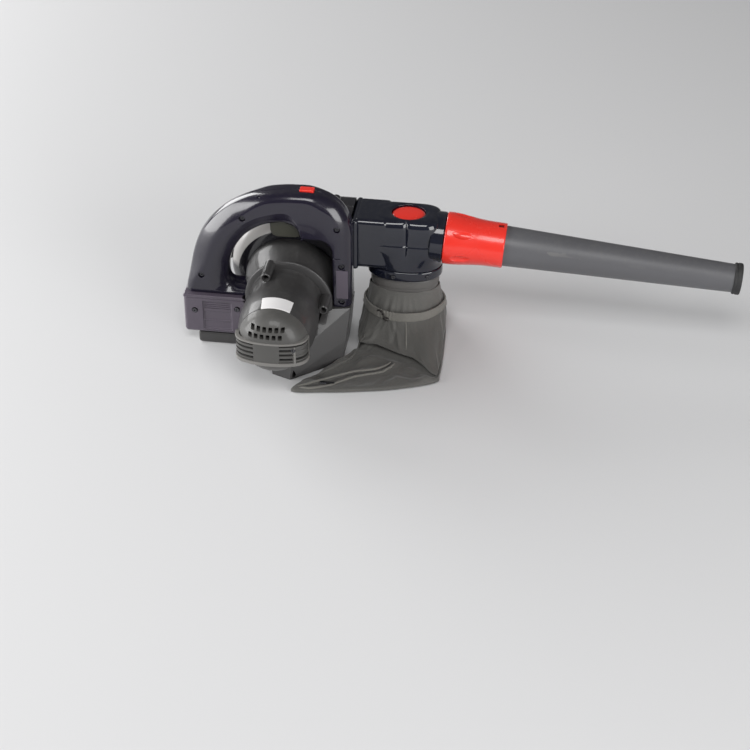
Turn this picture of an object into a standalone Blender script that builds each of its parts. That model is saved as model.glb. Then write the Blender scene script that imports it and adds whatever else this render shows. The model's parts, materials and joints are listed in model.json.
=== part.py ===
"""Handheld leaf blower vacuum: D-handle body, side motor, scroll fan, tee duct, blow tube and collection bag.

Metres, +Z up. X runs along the duct towards the nozzle, Y runs along the motor shaft away from the motor,
and the origin is on the ground under the motor shaft, in the split plane of the handle.
"""

import bmesh
import bpy
from math import asin, atan2, copysign, cos, degrees, pi, radians, sin, sqrt
from mathutils import Matrix

# Clearances and walls
GAP = 0.0003
RUNNING = 0.0006
WALL = 0.0025

# Sides of the large and the middling turned shapes
FINE = 34
MEDIUM = 26

# Motor shaft
SHAFT_Z = 0.084
SHAFT_R = 0.004

# Handle shells
HANDLE_HALF = 0.021
HANDLE_CAVITY = 0.0138
HANDLE_EDGE_WALL = 0.0047
GRIP_TOP_Z = 0.238
GRIP_DROP = 0.128
GRIP_CENTRE_X = -0.012
GRIP_CENTRE_Z = GRIP_TOP_Z - GRIP_DROP
GRIP_OUTER_X = 0.127
GRIP_LEFT = 0.058
GRIP_DEEP = 0.0525
FACE_LEFT = 0.046
FACE_DEEP = 0.025
SHOULDER_R = 0.056
COLUMN_OUTER_X = 0.086
COLUMN_INNER_X = 0.062
COLUMN_BOTTOM_Z = 0.0725
OUTER_ROUND = 0.013
INNER_ROUND = 0.0160
PANEL_ROUND = 0.004
PANEL_BOTTOM_Z = GRIP_TOP_Z - 0.064
PANEL_LEFT_X = 0.020
NOTCH_R = 0.018
NECK_THICKNESS = 0.009
NECK_FACE = 0.004
CAVITY_INNER_WALL = 0.0080
NECK_RIGHT_X = -0.046

# Battery dock and battery
DOCK_FRONT_Y = -0.029
DOCK_LEFT_X = -0.142
DOCK_RIGHT_X = -0.046
DOCK_BOTTOM_Z = 0.0183
DOCK_TOP_Z = 0.0785
DOCK_WALL = 0.003
DOCK_ROUND = 0.006
BASE_LEFT_X = -0.124
BASE_RIGHT_X = -0.060

# Motor housing
BARREL_BACK_Y = HANDLE_HALF
FLANGE_Y = -0.022
FLANGE_R = 0.0545
CONE_R = 0.0640
CAP_Y = -0.122
TOWER_R = 0.0065
TOWER_FRONT_Y = -0.052
TOWER_ANGLES = (112.0, 8.0, 232.0)
TOWER_AT_R = 0.0555

# Fan scroll
SCROLL_FRONT_Y = HANDLE_HALF + GAP
SCROLL_BACK_Y = 0.086
SCROLL_TONGUE_R = 0.070
SCROLL_GROWTH = 0.031
SCROLL_TONGUE_ANGLE = 10.0
SCROLL_ROUND = 0.011
OUTLET_BOTTOM_Z = 0.110
OUTLET_X = 0.0797
INTAKE_R = 0.044

# Tee duct
DUCT_X = 0.150
DUCT_Y = 0.5 * (SCROLL_FRONT_Y + SCROLL_BACK_Y)
DUCT_HALF = 0.5 * (SCROLL_BACK_Y - SCROLL_FRONT_Y)
DUCT_BOTTOM_Z = 0.1063
DUCT_TOP_Z = 0.184
RING_BOTTOM_Z = 0.0922
SPIGOT_R = 0.0455
RING_WALL = 0.0045
DUCT_R = SPIGOT_R + RING_WALL
NARROWER = DUCT_R - DUCT_HALF
SPIGOT_BOTTOM_Z = 0.036

# Blow tube line, drooping from the duct
PORT_X = 0.198
PORT_Z = 0.148
DROOP = radians(4.5)
PORT_R = 0.0285
PORT_END = 0.038
PORT_FACE_R = 0.0345
PORT_FACE = 0.0050
COLLAR_START = 0.0055
COLLAR_END = 0.086
TUBE_START = 0.0395
TUBE_END = 0.402
TUBE_WALL = 0.0018
TUBE_R = 0.0272
TUBE_END_R = 0.0188

# Collection bag
BAG_NECK_TOP_Z = 0.0735
CUFF_Z = 0.050
CUFF_HALF_X = 0.0545
CUFF_HALF_Y = 0.0465


def clear_scene():
    for obj in list(bpy.data.objects):
        bpy.data.objects.remove(obj, do_unlink=True)


def new_collection(name):
    collection = bpy.data.collections.new(name)
    bpy.context.scene.collection.children.link(collection)
    return collection


clear_scene()
PARTS = new_collection("leaf_blower_vacuum")
CUTTERS = new_collection("cutters")
CUTTERS.hide_render = True


def material(name, colour, roughness, metallic=0.0):
    made = bpy.data.materials.new(name)
    made.use_nodes = True
    shader = made.node_tree.nodes["Principled BSDF"]
    shader.inputs["Base Color"].default_value = (*colour, 1.0)
    shader.inputs["Roughness"].default_value = roughness
    shader.inputs["Metallic"].default_value = metallic
    made.diffuse_color = (*colour, 1.0)
    return made


NAVY = material("navy_gloss", (0.040, 0.034, 0.070), 0.18)
BLACK = material("black_satin", (0.022, 0.022, 0.025), 0.38)
RED = material("red_gloss", (0.72, 0.045, 0.035), 0.25)
GREY = material("grey_tube", (0.115, 0.118, 0.125), 0.45)
RUBBER = material("black_rubber", (0.018, 0.018, 0.018), 0.75)
FABRIC = material("bag_fabric", (0.060, 0.058, 0.055), 0.9)
STEEL = material("dark_steel", (0.10, 0.10, 0.11), 0.35, 0.9)
COPPER = material("copper", (0.55, 0.22, 0.11), 0.4, 0.9)
WHITE = material("natural_nylon", (0.55, 0.54, 0.50), 0.5)


def link(obj, paint, cutter=False):
    """Files a new object under the parts, or among the cutters, which are never rendered."""
    for owner in list(obj.users_collection):
        owner.objects.unlink(obj)
    (CUTTERS if cutter else PARTS).objects.link(obj)
    if cutter:
        obj.hide_render = True
        obj.display_type = "WIRE"
    elif paint:
        obj.data.materials.clear()
        obj.data.materials.append(paint)
    return obj


def smooth(obj, angle=35.0):
    obj.data.shade_smooth()
    obj.data.set_sharp_from_angle(angle=radians(angle))
    return obj


def from_bmesh(name, bm, paint, cutter=False):
    bmesh.ops.recalc_face_normals(bm, faces=bm.faces)
    mesh = bpy.data.meshes.new(name)
    bm.to_mesh(mesh)
    bm.free()
    obj = bpy.data.objects.new(name, mesh)
    link(obj, paint, cutter)
    return smooth(obj)


def baked(obj, name=None):
    """The object's evaluated shape as a plain mesh object in world space, in place of the object."""
    graph = bpy.context.evaluated_depsgraph_get()
    graph.update()
    mesh = bpy.data.meshes.new_from_object(obj.evaluated_get(graph), depsgraph=graph)
    mesh.transform(obj.matrix_world)
    owner = obj.users_collection[0]
    label = name or obj.name
    bm = bmesh.new()
    bm.from_mesh(mesh)
    bmesh.ops.remove_doubles(bm, verts=bm.verts, dist=0.00001)
    bm.to_mesh(mesh)
    bm.free()
    is_cutter = obj.hide_render
    bpy.data.objects.remove(obj, do_unlink=True)
    fresh = bpy.data.objects.new(label, mesh)
    fresh.name = label
    owner.objects.link(fresh)
    fresh.hide_render = is_cutter
    fresh.display_type = "WIRE" if is_cutter else "TEXTURED"
    return fresh


def box(name, low, high, paint=None, round_by=0.0, steps=2, cutter=False):
    size = [b - a for a, b in zip(low, high)]
    middle = [(a + b) / 2 for a, b in zip(low, high)]
    bpy.ops.mesh.primitive_cube_add(size=1.0, location=middle)
    obj = bpy.context.object
    obj.name = name
    obj.data.transform(Matrix.Diagonal((*size, 1.0)))
    link(obj, paint, cutter)
    if round_by:
        bevel = obj.modifiers.new("round", "BEVEL")
        bevel.width = round_by
        bevel.segments = steps
        bevel.limit_method = "ANGLE"
    return obj


def turned(name, profile, paint=None, steps=48, frame=None, closed=False, cutter=False):
    """A body turned about local Z from (radius, height) points; frame is its matrix in the world."""
    mesh = bpy.data.meshes.new(name)
    count = len(profile)
    edges = [(i, i + 1) for i in range(count - 1)]
    if closed:
        edges.append((count - 1, 0))
    mesh.from_pydata([(r, 0.0, h) for r, h in profile], edges, [])
    obj = bpy.data.objects.new(name, mesh)
    link(obj, paint, cutter)
    screw = obj.modifiers.new("turn", "SCREW")
    screw.angle = 2 * pi
    screw.steps = steps
    screw.render_steps = steps
    screw.use_merge_vertices = True
    screw.merge_threshold = 0.00001
    screw.use_smooth_shade = True
    if frame is not None:
        obj.matrix_world = frame
    return obj


def ring_profile(outer, inner, low, high):
    return [(outer, high), (outer, low), (inner, low), (inner, high)]


def along_y(x=0.0, z=SHAFT_Z, y=0.0):
    """A frame whose local Z is the world's +Y."""
    return Matrix.Translation((x, y, z)) @ Matrix.Rotation(-pi / 2, 4, "X")


def along_tube(distance=0.0):
    """A frame whose local Z runs out along the drooping blow tube, from the duct's port."""
    base = Matrix.Translation((PORT_X, DUCT_Y, PORT_Z)) @ Matrix.Rotation(pi / 2 + DROOP, 4, "Y")
    return base @ Matrix.Translation((0.0, 0.0, distance))


def rod(name, radius, low, high, frame, paint=None, steps=24, cutter=False):
    profile = [(0.0, high), (radius, high), (radius, low), (0.0, low)]
    return turned(name, profile, paint, steps, frame, cutter=cutter)


def loft(name, rings, paint=None, cutter=False):
    """A closed skin over rings of points that all have the same count."""
    bm = bmesh.new()
    loops = [[bm.verts.new(p) for p in ring] for ring in rings]
    for near, far in zip(loops, loops[1:]):
        for i in range(len(near)):
            j = (i + 1) % len(near)
            bm.faces.new((near[i], near[j], far[j], far[i]))
    bm.faces.new(loops[0])
    bm.faces.new(loops[-1])
    return from_bmesh(name, bm, paint, cutter)


def boolean(obj, other, operation):
    step = obj.modifiers.new(operation.lower(), "BOOLEAN")
    step.object = other
    step.operation = operation
    step.solver = "EXACT"
    return step


def cut(obj, *cutters):
    for cutter in cutters:
        boolean(obj, cutter, "DIFFERENCE")
    return obj


def join_all(obj, *others):
    """Unions others into obj; each of them becomes a helper that is never rendered."""
    for other in others:
        link(other, None, cutter=True)
        boolean(obj, other, "UNION")
    return obj


def several(name, objects, cutter=True):
    """One cutter or helper from separate bodies, such as a row of bores."""
    bm = bmesh.new()
    for obj in objects:
        plain = baked(obj)
        bm.from_mesh(plain.data)
        bpy.data.objects.remove(plain, do_unlink=True)
    return from_bmesh(name, bm, None, cutter)


def arc(centre_x, centre_z, radius_x, radius_z, start, end, steps, fullness=2.0):
    """Points of an elliptical arc in the X-Z plane, angles in degrees; a fullness under 2 flattens its shoulders."""
    points = []
    for i in range(steps + 1):
        t = radians(start + (end - start) * i / steps)
        across = copysign(abs(cos(t)) ** (2.0 / fullness), cos(t))
        up = copysign(abs(sin(t)) ** (2.0 / fullness), sin(t))
        points.append((centre_x + radius_x * across, centre_z + radius_z * up))
    return points


def climb(height, radius, fullness=2.0):
    """The angle in degrees at which such an arc has climbed by height, or 0 where it starts above it."""
    share = min(1.0, max(0.0, height / radius))
    return degrees(asin(share ** (fullness / 2.0)))


def edge_rounding(half, radius, steps):
    """(depth, inset) pairs from the flat side out to the rounded rim of a body of that half thickness."""
    pairs = []
    for i in range(steps + 1):
        t = radians(90.0 * i / steps)
        pairs.append((half - radius + radius * sin(t), radius * (1 - cos(t))))
    return pairs


# Handle shells

def between(near, far, share):
    return near + (far - near) * share


NOTCH_SLOPE = ((0.0060, 0.0030, 0.0035, 0.0240), (0.0130, 0.0070, 0.0010, 0.0105),
               (0.0200, 0.0130, 0.0003, 0.0012))


def handle_outline(outer, share):
    """The handle's side view: drawn in by `outer` outside, and opened round the hand hole as share goes 0 to 1."""
    centre_x, centre_z = GRIP_CENTRE_X, GRIP_CENTRE_Z
    edge = PANEL_ROUND * share
    foot_z = DOCK_TOP_Z + GAP
    points = [(centre_x - GRIP_OUTER_X + outer, foot_z)]
    rise = GRIP_DROP - outer
    points += arc(centre_x, centre_z, GRIP_OUTER_X - outer, rise, 180 - climb(foot_z - centre_z, rise), 90, 12)
    shoulder_x = COLUMN_OUTER_X - SHOULDER_R
    points += arc(shoulder_x, GRIP_TOP_Z - SHOULDER_R, SHOULDER_R - outer, SHOULDER_R - outer, 90, 0, 8)
    points.append((COLUMN_OUTER_X - outer, COLUMN_BOTTOM_Z))
    points.append((COLUMN_INNER_X + edge, COLUMN_BOTTOM_Z))
    notch_r = NOTCH_R - edge
    corner_x, corner_z = COLUMN_INNER_X + edge - notch_r, PANEL_BOTTOM_Z + edge - notch_r
    points += arc(corner_x, corner_z, notch_r, notch_r, 0, 90, 4)
    hole_x = GRIP_OUTER_X - between(GRIP_LEFT, FACE_LEFT, share)
    hole_z = GRIP_DROP - between(GRIP_DEEP, FACE_DEEP, share)
    hole_top = centre_z + hole_z
    points.append((between(PANEL_LEFT_X, PANEL_LEFT_X + 0.0015, share), PANEL_BOTTOM_Z + edge * 0.5))
    for near_x, far_x, near_z, far_z in NOTCH_SLOPE:
        points.append((PANEL_LEFT_X - between(near_x, far_x, share), hole_top - between(near_z, far_z, share)))
    neck_top = DOCK_TOP_Z + between(NECK_THICKNESS, NECK_FACE, share)
    fullness = between(1.80, 1.65, share)
    low = 180 - climb(neck_top + 0.010 - centre_z, hole_z, fullness)
    points += arc(centre_x, centre_z, hole_x, hole_z, 92, low, 11, fullness)
    points.append((centre_x - hole_x + between(0.0040, 0.0060, share), neck_top + 0.009))
    points.append((centre_x - hole_x + 0.015, neck_top))
    points.append((NECK_RIGHT_X, neck_top))
    points.append((NECK_RIGHT_X, foot_z))
    return points


def handle_cavity_outline():
    """The hollow of the grip and panel, kept clear of the thin neck over the dock."""
    centre_x, centre_z = GRIP_CENTRE_X, GRIP_CENTRE_Z
    wall = HANDLE_EDGE_WALL
    floor_z = DOCK_TOP_Z + 0.012
    points = [(centre_x - GRIP_OUTER_X + wall, floor_z)]
    rise = GRIP_DROP - wall
    points += arc(centre_x, centre_z, GRIP_OUTER_X - wall, rise, 180 - climb(floor_z - centre_z, rise), 90, 9)
    shoulder_x, shoulder_z = COLUMN_OUTER_X - SHOULDER_R, GRIP_TOP_Z - SHOULDER_R
    panel_floor_z = PANEL_BOTTOM_Z + CAVITY_INNER_WALL
    shoulder_in = SHOULDER_R - wall
    low = climb(panel_floor_z + 0.001 - shoulder_z, shoulder_in)
    points += arc(shoulder_x, shoulder_z, shoulder_in, shoulder_in, 90, low, 5)
    points.append((points[-1][0], panel_floor_z))
    points.append((PANEL_LEFT_X + 0.008, panel_floor_z))
    hole_x = GRIP_OUTER_X - GRIP_LEFT + CAVITY_INNER_WALL
    hole_z = GRIP_DROP - GRIP_DEEP + CAVITY_INNER_WALL
    points.append((PANEL_LEFT_X - 0.006, centre_z + hole_z))
    low = 180 - climb(floor_z + 0.001 - centre_z, hole_z, 1.80)
    points += arc(centre_x, centre_z, hole_x, hole_z, 92, low, 9, 1.80)
    points.append((points[-1][0], floor_z))
    return points


def at_depth(outline, y):
    return [(x, y, z) for x, z in outline]


SCREW_PLACES = ((-0.0575, GRIP_TOP_Z - 0.0390), (COLUMN_OUTER_X - 0.0180, GRIP_TOP_Z - 0.0460),
                (GRIP_CENTRE_X - GRIP_OUTER_X + 0.0225, DOCK_TOP_Z + 0.0275),
                (COLUMN_OUTER_X - 0.0125, COLUMN_BOTTOM_Z + 0.0625), (COLUMN_OUTER_X - 0.0125, COLUMN_BOTTOM_Z + 0.0075))
SCREW_BORE_R = 0.0042
SCREW_SEAT = 0.0055


def handle_shell(name, side):
    """One moulded half of the handle; side is -1 for the motor side and +1 for the fan side."""
    rings = [at_depth(handle_outline(0.0, 0.0), side * GAP / 2)]
    flat = HANDLE_HALF - INNER_ROUND
    for step in range(7):
        depth = flat + INNER_ROUND * sin(radians(15.0 * step))
        share = 1.0 - cos(radians(15.0 * step))
        past = max(depth - (HANDLE_HALF - OUTER_ROUND), 0.0)
        inset = OUTER_ROUND - sqrt(max(OUTER_ROUND**2 - past**2, 0.0))
        rings.append(at_depth(handle_outline(inset, share), side * depth))
    shell = loft(name, rings, NAVY)
    hollow = [at_depth(handle_cavity_outline(), side * d) for d in (-0.002, HANDLE_CAVITY)]
    cut(shell, loft(name + "_hollow", hollow, cutter=True))
    return shell


def screw_bores():
    """Counterbores for the screws that close the handle shells, from the motor side."""
    bores = []
    for x, z in SCREW_PLACES:
        frame = along_y(x, z)
        seat = SCREW_SEAT - HANDLE_HALF
        bores.append(rod("bore", SCREW_BORE_R, -0.030, seat, frame, steps=10))
    return several("handle_bores", bores)


def pan_screw(name, frame, radius, thickness):
    """A screw's pan head with its driver recess; its seat is local Z = 0 and it stands towards local -Z."""
    profile = [(0.0, 0.0), (radius, 0.0), (radius * 0.85, -thickness), (radius * 0.35, -thickness),
               (radius * 0.25, -thickness * 0.4), (0.0, -thickness * 0.4)]
    return turned(name, profile, STEEL, 8, frame)


def screw_set(name, frames, radius, thickness):
    for number, frame in enumerate(frames, 1):
        pan_screw("%s_%d" % (name, number), frame, radius, thickness)


def handle_screws():
    seat_y = SCREW_SEAT - HANDLE_HALF - GAP
    frames = [along_y(x, z, seat_y) for x, z in SCREW_PLACES]
    screw_set("handle_screw", frames, SCREW_BORE_R - 0.0005, 0.003)


# Motor housing, end cap and what turns inside

BARREL_OUTER = ((0.0470, -0.1220), (0.0500, -0.1100), (0.0520, -0.0850), (0.0515, -0.0500), (0.0505, -0.0270),
                (FLANGE_R, -0.0262), (FLANGE_R, FLANGE_Y), (0.0530, -0.0215), (0.0580, -0.0050),
                (0.0625, 0.0100), (CONE_R, BARREL_BACK_Y))
CAP_OUTER = ((0.0, -0.1520), (0.0150, -0.1513), (0.0270, -0.1485), (0.0360, -0.1432), (0.0425, -0.1350),
             (0.0467, CAP_Y - GAP))


BARREL_INNER = tuple((r - WALL, y) for r, y in (BARREL_OUTER[0], BARREL_OUTER[2], BARREL_OUTER[4], BARREL_OUTER[7],
                                               BARREL_OUTER[-1]))


def barrel_inner_r(y):
    """The barrel's inside radius at depth y."""
    for (near_r, near_y), (far_r, far_y) in zip(BARREL_INNER, BARREL_INNER[1:]):
        if near_y <= y <= far_y:
            return near_r + (far_r - near_r) * (y - near_y) / (far_y - near_y)
    return BARREL_INNER[-1][0]


def tower_frames():
    """Frames at the screw towers round the flange, local Z along world +Y."""
    frames = []
    for angle in TOWER_ANGLES:
        turn = radians(angle)
        frames.append(along_y(TOWER_AT_R * cos(turn), SHAFT_Z + TOWER_AT_R * sin(turn)))
    return frames


TOWER_SEAT_Y = TOWER_FRONT_Y + 0.006
TOWER_BORE_R = 0.0040


def motor_housing():
    """The barrel and its cone, with three screw towers beside the flange."""
    profile = list(reversed(BARREL_OUTER)) + list(BARREL_INNER)
    shell = turned("motor_housing", profile, BLACK, FINE, along_y(), closed=True)
    for frame in tower_frames():
        join_all(shell, rod("tower", TOWER_R, TOWER_FRONT_Y, FLANGE_Y - 0.001, frame, steps=14))
    bores = [rod("bore", TOWER_BORE_R, TOWER_FRONT_Y - 0.01, TOWER_SEAT_Y, frame, steps=12)
             for frame in tower_frames()]
    cut(shell, several("tower_bores", bores))
    return shell


def tower_screws():
    frames = [frame @ Matrix.Translation((0.0, 0.0, TOWER_SEAT_Y - GAP)) for frame in tower_frames()]
    screw_set("tower_screw", frames, TOWER_BORE_R - 0.0005, 0.003)


def vent_cutters(name):
    """Two rows of short upright vents over the nose, and four rows of slots each side of its blank middle."""
    cutters = []
    for row, (z, y) in enumerate(((0.1135, -0.150), (0.1040, -0.155))):
        for i in range(6):
            x = -0.0035 + (i - 2.5) * 0.0078 + row * -0.001
            cutters.append(box("vent", (x - 0.0026, y, z - 0.0032), (x + 0.0026, y + 0.022, z + 0.0032)))
    for side in (-1, 1):
        for row in range(4):
            z = 0.0860 - row * 0.0080
            start = 0.0375 if side > 0 and row == 0 else 0.0165
            low, high = sorted((side * start, side * 0.060))
            cutters.append(box("slot", (low, -0.160, z - 0.0015), (high, -0.1275, z + 0.0015)))
    return several(name, cutters)


CAP_SCREW_FRAME = along_y(0.0300, 0.0850)
CAP_SCREW_SEAT_Y = -0.1455


def motor_end_cap():
    """Domed, slotted nose of the motor housing."""
    inner = [(0.0440, CAP_Y - GAP), (0.0400, -0.1340), (0.0340, -0.1408), (0.0255, -0.1458), (0.0145, -0.1486),
             (0.0, -0.1492)]
    cap = turned("motor_end_cap", list(reversed(inner)) + list(reversed(CAP_OUTER)), BLACK, FINE, along_y())
    cut(cap, vent_cutters("cap_vents"))
    cut(cap, rod("cap_screw_bore", SCREW_BORE_R, -0.160, CAP_SCREW_SEAT_Y, CAP_SCREW_FRAME, steps=10, cutter=True))
    return cap


def cap_screw():
    frame = CAP_SCREW_FRAME @ Matrix.Translation((0.0, 0.0, CAP_SCREW_SEAT_Y - GAP))
    return pan_screw("cap_screw", frame, SCREW_BORE_R - 0.0005, 0.0025)


def barrel_cutter():
    """The motor housing's outside plus a clearance, to seat the handle, dock and foot on it."""
    grown = [(r + GAP, y) for r, y in BARREL_OUTER]
    grown = [(0.0, grown[0][1])] + grown + [(grown[-1][0], BARREL_BACK_Y + 0.004), (0.0, BARREL_BACK_Y + 0.004)]
    return turned("barrel_space", list(reversed(grown)), None, FINE, along_y(), cutter=True)


MOUNT_FRONT = (-0.0500, -0.0440)
MOUNT_REAR = (-0.1160, -0.1110)
BEARING_R = 0.0110


def motor_inside():
    """Stator, its two end mounts, the bearings, and the rotor with its shaft."""
    for name, span in (("motor_mount_front", MOUNT_FRONT), ("motor_mount_rear", MOUNT_REAR)):
        reach = min(barrel_inner_r(y) for y in span) - GAP
        turned(name, ring_profile(reach, BEARING_R + GAP, *span), BLACK, MEDIUM, along_y(), True)
    stator_span = (MOUNT_REAR[1] + GAP, MOUNT_FRONT[0] - GAP)
    turned("stator", ring_profile(0.0420, 0.0225, *stator_span), STEEL, MEDIUM, along_y(), True)
    turned("bearing_front", ring_profile(BEARING_R, SHAFT_R + GAP, *MOUNT_FRONT), STEEL, MEDIUM, along_y(), True)
    turned("bearing_rear", ring_profile(BEARING_R, SHAFT_R + GAP, *MOUNT_REAR), STEEL, MEDIUM, along_y(), True)
    turned("rotor_core", ring_profile(0.0216, SHAFT_R + GAP, -0.1050, -0.0560), COPPER, 24, along_y(), True)
    rod("rotor_shaft", SHAFT_R, -0.1190, 0.0740, along_y(), STEEL, 20)


# Fan scroll

def scroll_radius(turn):
    """Radius after `turn` degrees of the scroll's 280."""
    return SCROLL_TONGUE_R + SCROLL_GROWTH * (turn / 280.0) ** 1.6


SCROLL_TOP_Z = SHAFT_Z + SCROLL_TONGUE_R + SCROLL_GROWTH


def scroll_outline(inset, outlet_x):
    """Spiral from the tongue clockwise over the top, then the outlet; drawn in by `inset`."""
    points = []
    for i in range(27):
        turn = 280.0 * i / 26
        angle = radians(SCROLL_TONGUE_ANGLE - turn)
        r = scroll_radius(turn) - inset
        points.append((r * cos(angle), SHAFT_Z + r * sin(angle)))
    points.append((outlet_x, SCROLL_TOP_Z - inset))
    points.append((outlet_x, OUTLET_BOTTOM_Z + inset))
    points.append((0.0740, OUTLET_BOTTOM_Z + inset))
    return points


def scroll_half(name, side, opening_r):
    """One half of the fan casing; side is -1 for the motor's and +1 for the intake's."""
    half = (SCROLL_BACK_Y - SCROLL_FRONT_Y) / 2
    rings = [at_depth(scroll_outline(0.0, OUTLET_X), DUCT_Y + side * GAP / 2)]
    for depth, inset in edge_rounding(half, SCROLL_ROUND, 3):
        rings.append(at_depth(scroll_outline(inset, OUTLET_X), DUCT_Y + side * depth))
    shell = loft(name, rings, BLACK)
    past = OUTLET_X + 0.006
    steps = ((-0.002, WALL), (half - SCROLL_ROUND, WALL), (half - 0.0065, WALL + 0.0015), (half - WALL, WALL + 0.0075))
    hollow = loft(name + "_hollow", [at_depth(scroll_outline(inset, past), DUCT_Y + side * depth)
                                     for depth, inset in steps], cutter=True)
    cut(shell, hollow)
    ends = sorted((DUCT_Y + side * (half - 0.012), DUCT_Y + side * (half + 0.004)))
    cut(shell, rod(name + "_bore", opening_r, *ends, along_y(), steps=FINE, cutter=True))
    return shell


IMPELLER_R = 0.0600
IMPELLER_BACK_Y = 0.0285
BLADES = 8
BLADE_DEPTH = 0.036


def impeller():
    """Backplate, hub and backward-curved blades."""
    plate = ((0.0, 0.0620), (0.0110, 0.0620), (0.0125, 0.0600), (0.0140, 0.0400), (0.0200, IMPELLER_BACK_Y + 0.003),
             (IMPELLER_R, IMPELLER_BACK_Y + 0.0020), (IMPELLER_R, IMPELLER_BACK_Y), (0.0, IMPELLER_BACK_Y))
    wheel = turned("impeller", list(plate), WHITE, MEDIUM, along_y())
    blades = []
    for n in range(BLADES):
        turn = 360.0 * n / BLADES
        outlines = []
        for y, top in ((IMPELLER_BACK_Y + 0.001, 0.0), (IMPELLER_BACK_Y + BLADE_DEPTH, 0.003)):
            outer_side, inner_side = [], []
            for i in range(5):
                r = 0.0170 + (IMPELLER_R - 0.0005 - top - 0.0170) * i / 4
                bend = turn + 42.0 * (i / 4) ** 1.3
                half_angle = degrees(0.0009 / r)
                outer_side.append((r * cos(radians(bend + half_angle)), y, SHAFT_Z + r * sin(radians(bend + half_angle))))
                inner_side.append((r * cos(radians(bend - half_angle)), y, SHAFT_Z + r * sin(radians(bend - half_angle))))
            outlines.append(outer_side + list(reversed(inner_side)))
        blades.append(loft("blade", outlines))
    bmesh_blades = several("blades", blades)
    join_all(wheel, bmesh_blades)
    cut(wheel, rod("impeller_bore", SHAFT_R + GAP, 0.020, 0.070, along_y(), steps=20, cutter=True))
    return wheel


def impeller_nut():
    nut = rod("impeller_nut", 0.0068, 0.0623, 0.0683, along_y(), STEEL, 6)
    return cut(nut, rod("nut_bore", SHAFT_R + GAP, 0.0600, 0.0700, along_y(), steps=20, cutter=True))


def intake_guard():
    """Round guard over the fan's intake: a rim, three rings and spokes."""
    low, high = SCROLL_BACK_Y + GAP, SCROLL_BACK_Y + 0.0085
    guard = turned("intake_guard", [(0.0500, high), (0.0520, high - 0.002), (0.0520, low), (INTAKE_R + 0.001, low),
                                    (INTAKE_R + 0.001, high)], BLACK, MEDIUM, along_y(), closed=True)
    rings = [turned("guard_ring", ring_profile(r + 0.0011, r - 0.0011, high - 0.0035, high - 0.0005), None, 20,
                    along_y(), closed=True) for r in (0.0160, 0.0300)]
    bars = []
    for n in range(4):
        bar = box("guard_bar", (-0.0460, high - 0.0042, -0.0013), (0.0460, high - 0.0009, 0.0013))
        bar.matrix_world = Matrix.Translation((0.0, 0.0, SHAFT_Z)) @ Matrix.Rotation(radians(45.0 * n), 4, "Y") \
            @ Matrix.Translation((0.0, (high - 0.0042 + high - 0.0009) / 2, 0.0))
        bars.append(bar)
    join_all(guard, *rings)
    join_all(guard, *bars)
    return guard


# Tee duct, its ring, spigot and button

BUTTON_X = 0.154
BUTTON_RX = 0.0225
BUTTON_RY = 0.0185
BUTTON_TOP_Z = 0.1822
BUTTON_THICK = 0.0055
POCKET_FLOOR_Z = DUCT_TOP_Z - 0.0120
OVAL_FULLNESS = 2.2

# Half widths lost and fullness of the duct's plan, by height: from the oval ring up to the box-like top
DUCT_FOOT = ((0.0, 2.2), (0.0060, 2.3), (0.0140, 2.8), (0.0240, 3.8))
DUCT_RIM = ((0.0055, 0.0, 4.4), (0.0025, 0.0012, 4.4), (0.0006, 0.0035, 4.2), (0.0, 0.0070, 4.0))
CREASE_X = 0.1535
CREASE_R = 0.0040
CREASE_DEPTH = 0.0010


def oval(half_x, half_y, z, fullness=OVAL_FULLNESS):
    """A level ring of points round the middle of the duct."""
    points = []
    for i in range(FINE):
        turn = 2 * pi * i / FINE
        across = copysign(abs(cos(turn)) ** (2.0 / fullness), cos(turn))
        along = copysign(abs(sin(turn)) ** (2.0 / fullness), sin(turn))
        points.append((DUCT_X + half_x * across, DUCT_Y + half_y * along, z))
    return points


def duct_oval(radius, z, fullness=OVAL_FULLNESS):
    """The duct's own oval: half as wide as radius along X, and narrower along Y."""
    return oval(radius, radius - NARROWER, z, fullness)


def oval_band(name, profile, paint=None, cutter=False):
    """A closed profile of (half X, half Y, height) carried round the duct's oval."""
    bm = bmesh.new()
    loops = [[bm.verts.new(point) for point in oval(*corner)] for corner in profile]
    for near, far in zip(loops, loops[1:] + loops[:1]):
        for i in range(FINE):
            j = (i + 1) % FINE
            bm.faces.new((near[i], near[j], far[j], far[i]))
    return from_bmesh(name, bm, paint, cutter)


def duct_band(name, profile, paint=None):
    return oval_band(name, [(radius, radius - NARROWER, z) for radius, z in profile], paint)


def oval_rod(name, rx, ry, low, high, paint=None, cutter=False, steps=MEDIUM):
    frame = Matrix.Translation((BUTTON_X, DUCT_Y, 0.0)) @ Matrix.Diagonal((rx, ry, 1.0, 1.0))
    return turned(name, [(0.0, high), (1.0, high), (1.0, low), (0.0, low)], paint, steps, frame, cutter=cutter)


def duct_rings(inset, low, high):
    """The duct's plans from low to high, drawn in by inset, without the rounding of its top edge."""
    rings = [duct_oval(DUCT_R - inset, low)]
    rings += [duct_oval(DUCT_R - inset, DUCT_BOTTOM_Z + up, fullness) for up, fullness in DUCT_FOOT]
    rings.append(duct_oval(DUCT_R - inset, high, DUCT_RIM[0][2]))
    return rings


def duct_scoop():
    """The hollow round the button in the duct's top."""
    bpy.ops.mesh.primitive_uv_sphere_add(segments=18, ring_count=10, radius=1.0)
    scoop = bpy.context.object
    scoop.name = "button_scoop"
    link(scoop, None, cutter=True)
    scoop.matrix_world = Matrix.Translation((BUTTON_X, DUCT_Y, DUCT_TOP_Z + 0.006)) \
        @ Matrix.Diagonal((0.0350, 0.0280, 0.0098, 1.0))
    return scoop


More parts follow.
